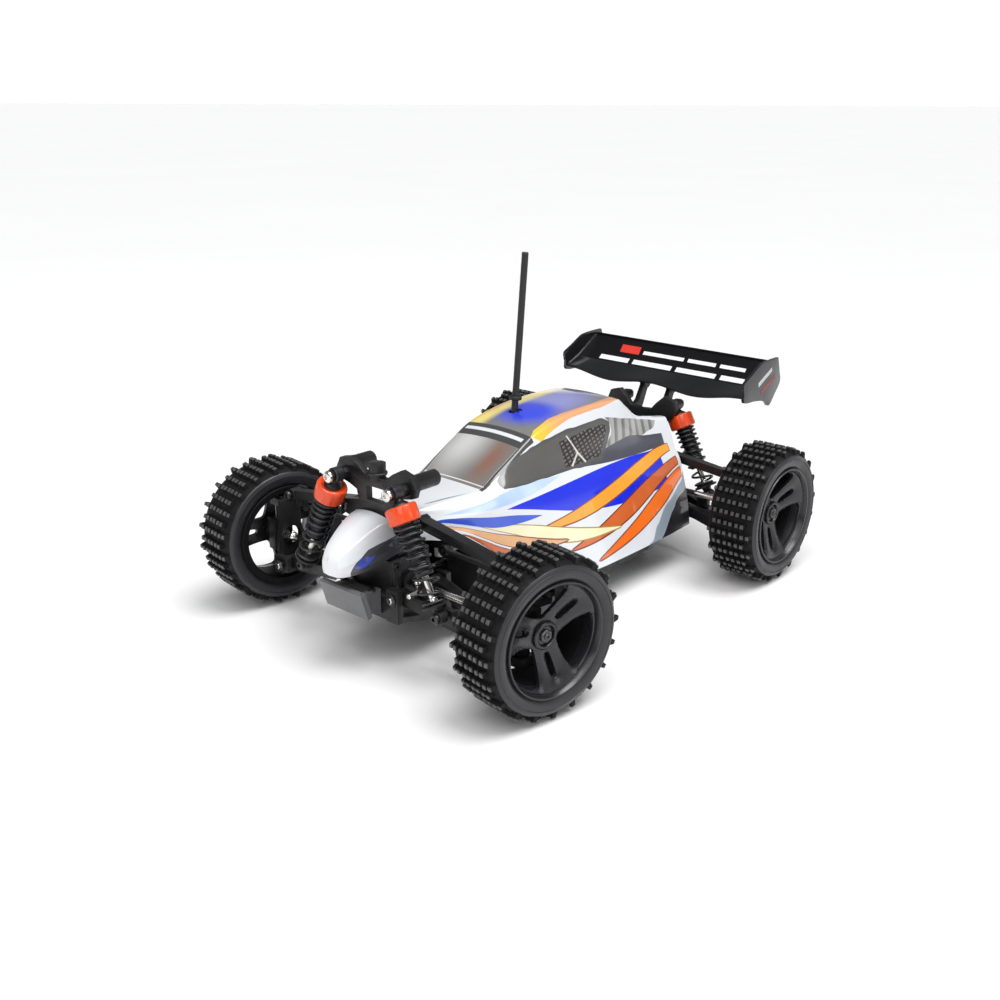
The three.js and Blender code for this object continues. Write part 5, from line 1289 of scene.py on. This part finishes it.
# ------------------------------------------------------------------ floor, light and camera
def node_floor():
    m = bpy.data.materials.new("floor_pale")
    m.use_nodes = True
    N, Lk = m.node_tree.nodes, m.node_tree.links
    b = N["Principled BSDF"]
    tc = N.new("ShaderNodeTexCoord"); n1 = N.new("ShaderNodeTexNoise"); n1.inputs["Scale"].default_value = 3.0
    Lk.new(tc.outputs["Object"], n1.inputs["Vector"])
    mx = N.new("ShaderNodeMix"); mx.data_type = "RGBA"
    mx.inputs[6].default_value = (0.84, 0.84, 0.845, 1); mx.inputs[7].default_value = (0.87, 0.87, 0.87, 1)
    Lk.new(n1.outputs["Fac"], mx.inputs["Factor"]); Lk.new(mx.outputs[2], b.inputs["Base Color"])
    b.inputs["Roughness"].default_value = 0.85
    b.inputs["Specular IOR Level"].default_value = 0.2
    return m


bpy.ops.mesh.primitive_plane_add(size=60.0, location=(0, 0, -0.0003))
floor = bpy.context.active_object
floor.name = "floor"
floor.data.materials.append(node_floor())


def area(name, loc, target, size, power, colour=(1, 1, 1), size_y=None):
    d = bpy.data.lights.new(name, "AREA")
    d.energy = power
    d.color = colour
    d.shape = "RECTANGLE" if size_y else "SQUARE"
    d.size = size
    if size_y:
        d.size_y = size_y
    o = bpy.data.objects.new(name, d)
    bpy.context.scene.collection.objects.link(o)
    o.location = loc
    o.rotation_euler = (Vector(target) - Vector(loc)).to_track_quat("-Z", "Y").to_euler()
    return o


def sun(name, direction, strength, angle, colour=(1, 1, 1)):
    d = bpy.data.lights.new(name, "SUN")
    d.energy = strength
    d.angle = angle * D2R
    d.color = colour
    o = bpy.data.objects.new(name, d)
    bpy.context.scene.collection.objects.link(o)
    o.rotation_euler = Vector(direction).to_track_quat("-Z", "Y").to_euler()
    return o


sun("key_soft", (-0.45, -0.2, -1.3), 2.3, 36)
sun("fill_soft", (-0.35, 0.75, -0.9), 1.0, 50)
area("top_soft", (0.15, -0.35, 0.9), (0, 0, 0.03), 0.5, 2.2)
area("left_soft", (0.95, 0.15, 0.5), (0, 0, 0.04), 0.35, 1.0)

w = bpy.data.worlds.new("studio")
bpy.context.scene.world = w
w.use_nodes = True
WN, WL = w.node_tree.nodes, w.node_tree.links
bg = WN["Background"]
wtc = WN.new("ShaderNodeTexCoord")
wsep = WN.new("ShaderNodeSeparateXYZ"); WL.new(wtc.outputs["Generated"], wsep.inputs[0])
wmr = WN.new("ShaderNodeMapRange"); wmr.interpolation_type = "SMOOTHSTEP"
wmr.inputs["From Min"].default_value = 0.075; wmr.inputs["From Max"].default_value = 0.2
wmr.inputs["To Min"].default_value = 1.02; wmr.inputs["To Max"].default_value = 0.22
WL.new(wsep.outputs[2], wmr.inputs["Value"]); WL.new(wmr.outputs[0], bg.inputs["Strength"])
bg.inputs["Color"].default_value = (0.99, 0.995, 1.0, 1)
bpy.context.scene.view_settings.view_transform = "Standard"

cam = bpy.data.cameras.new("view")
cam.lens = 41.4745
cam.sensor_width = 36.0
cam.sensor_fit = "HORIZONTAL"
cam.clip_start = 0.01
cam.clip_end = 20
co = bpy.data.objects.new("view", cam)
bpy.context.scene.collection.objects.link(co)
A, E, R = 41.41 * D2R, 19.52 * D2R, 0.19 * D2R
back = Vector((math.sin(A) * math.cos(E), -math.cos(A) * math.cos(E), math.sin(E)))
cx = Vector((0, 0, 1)).cross(back).normalized()
cyv = back.cross(cx)
x2 = cx * math.cos(R) + cyv * math.sin(R)
y2 = cyv * math.cos(R) - cx * math.sin(R)
co.matrix_world = Matrix(((x2.x, y2.x, back.x, 0.32265), (x2.y, y2.y, back.y, -0.38920), (x2.z, y2.z, back.z, 0.21998), (0, 0, 0, 1)))
bpy.context.scene.camera = co

bpy.context.view_layer.update()
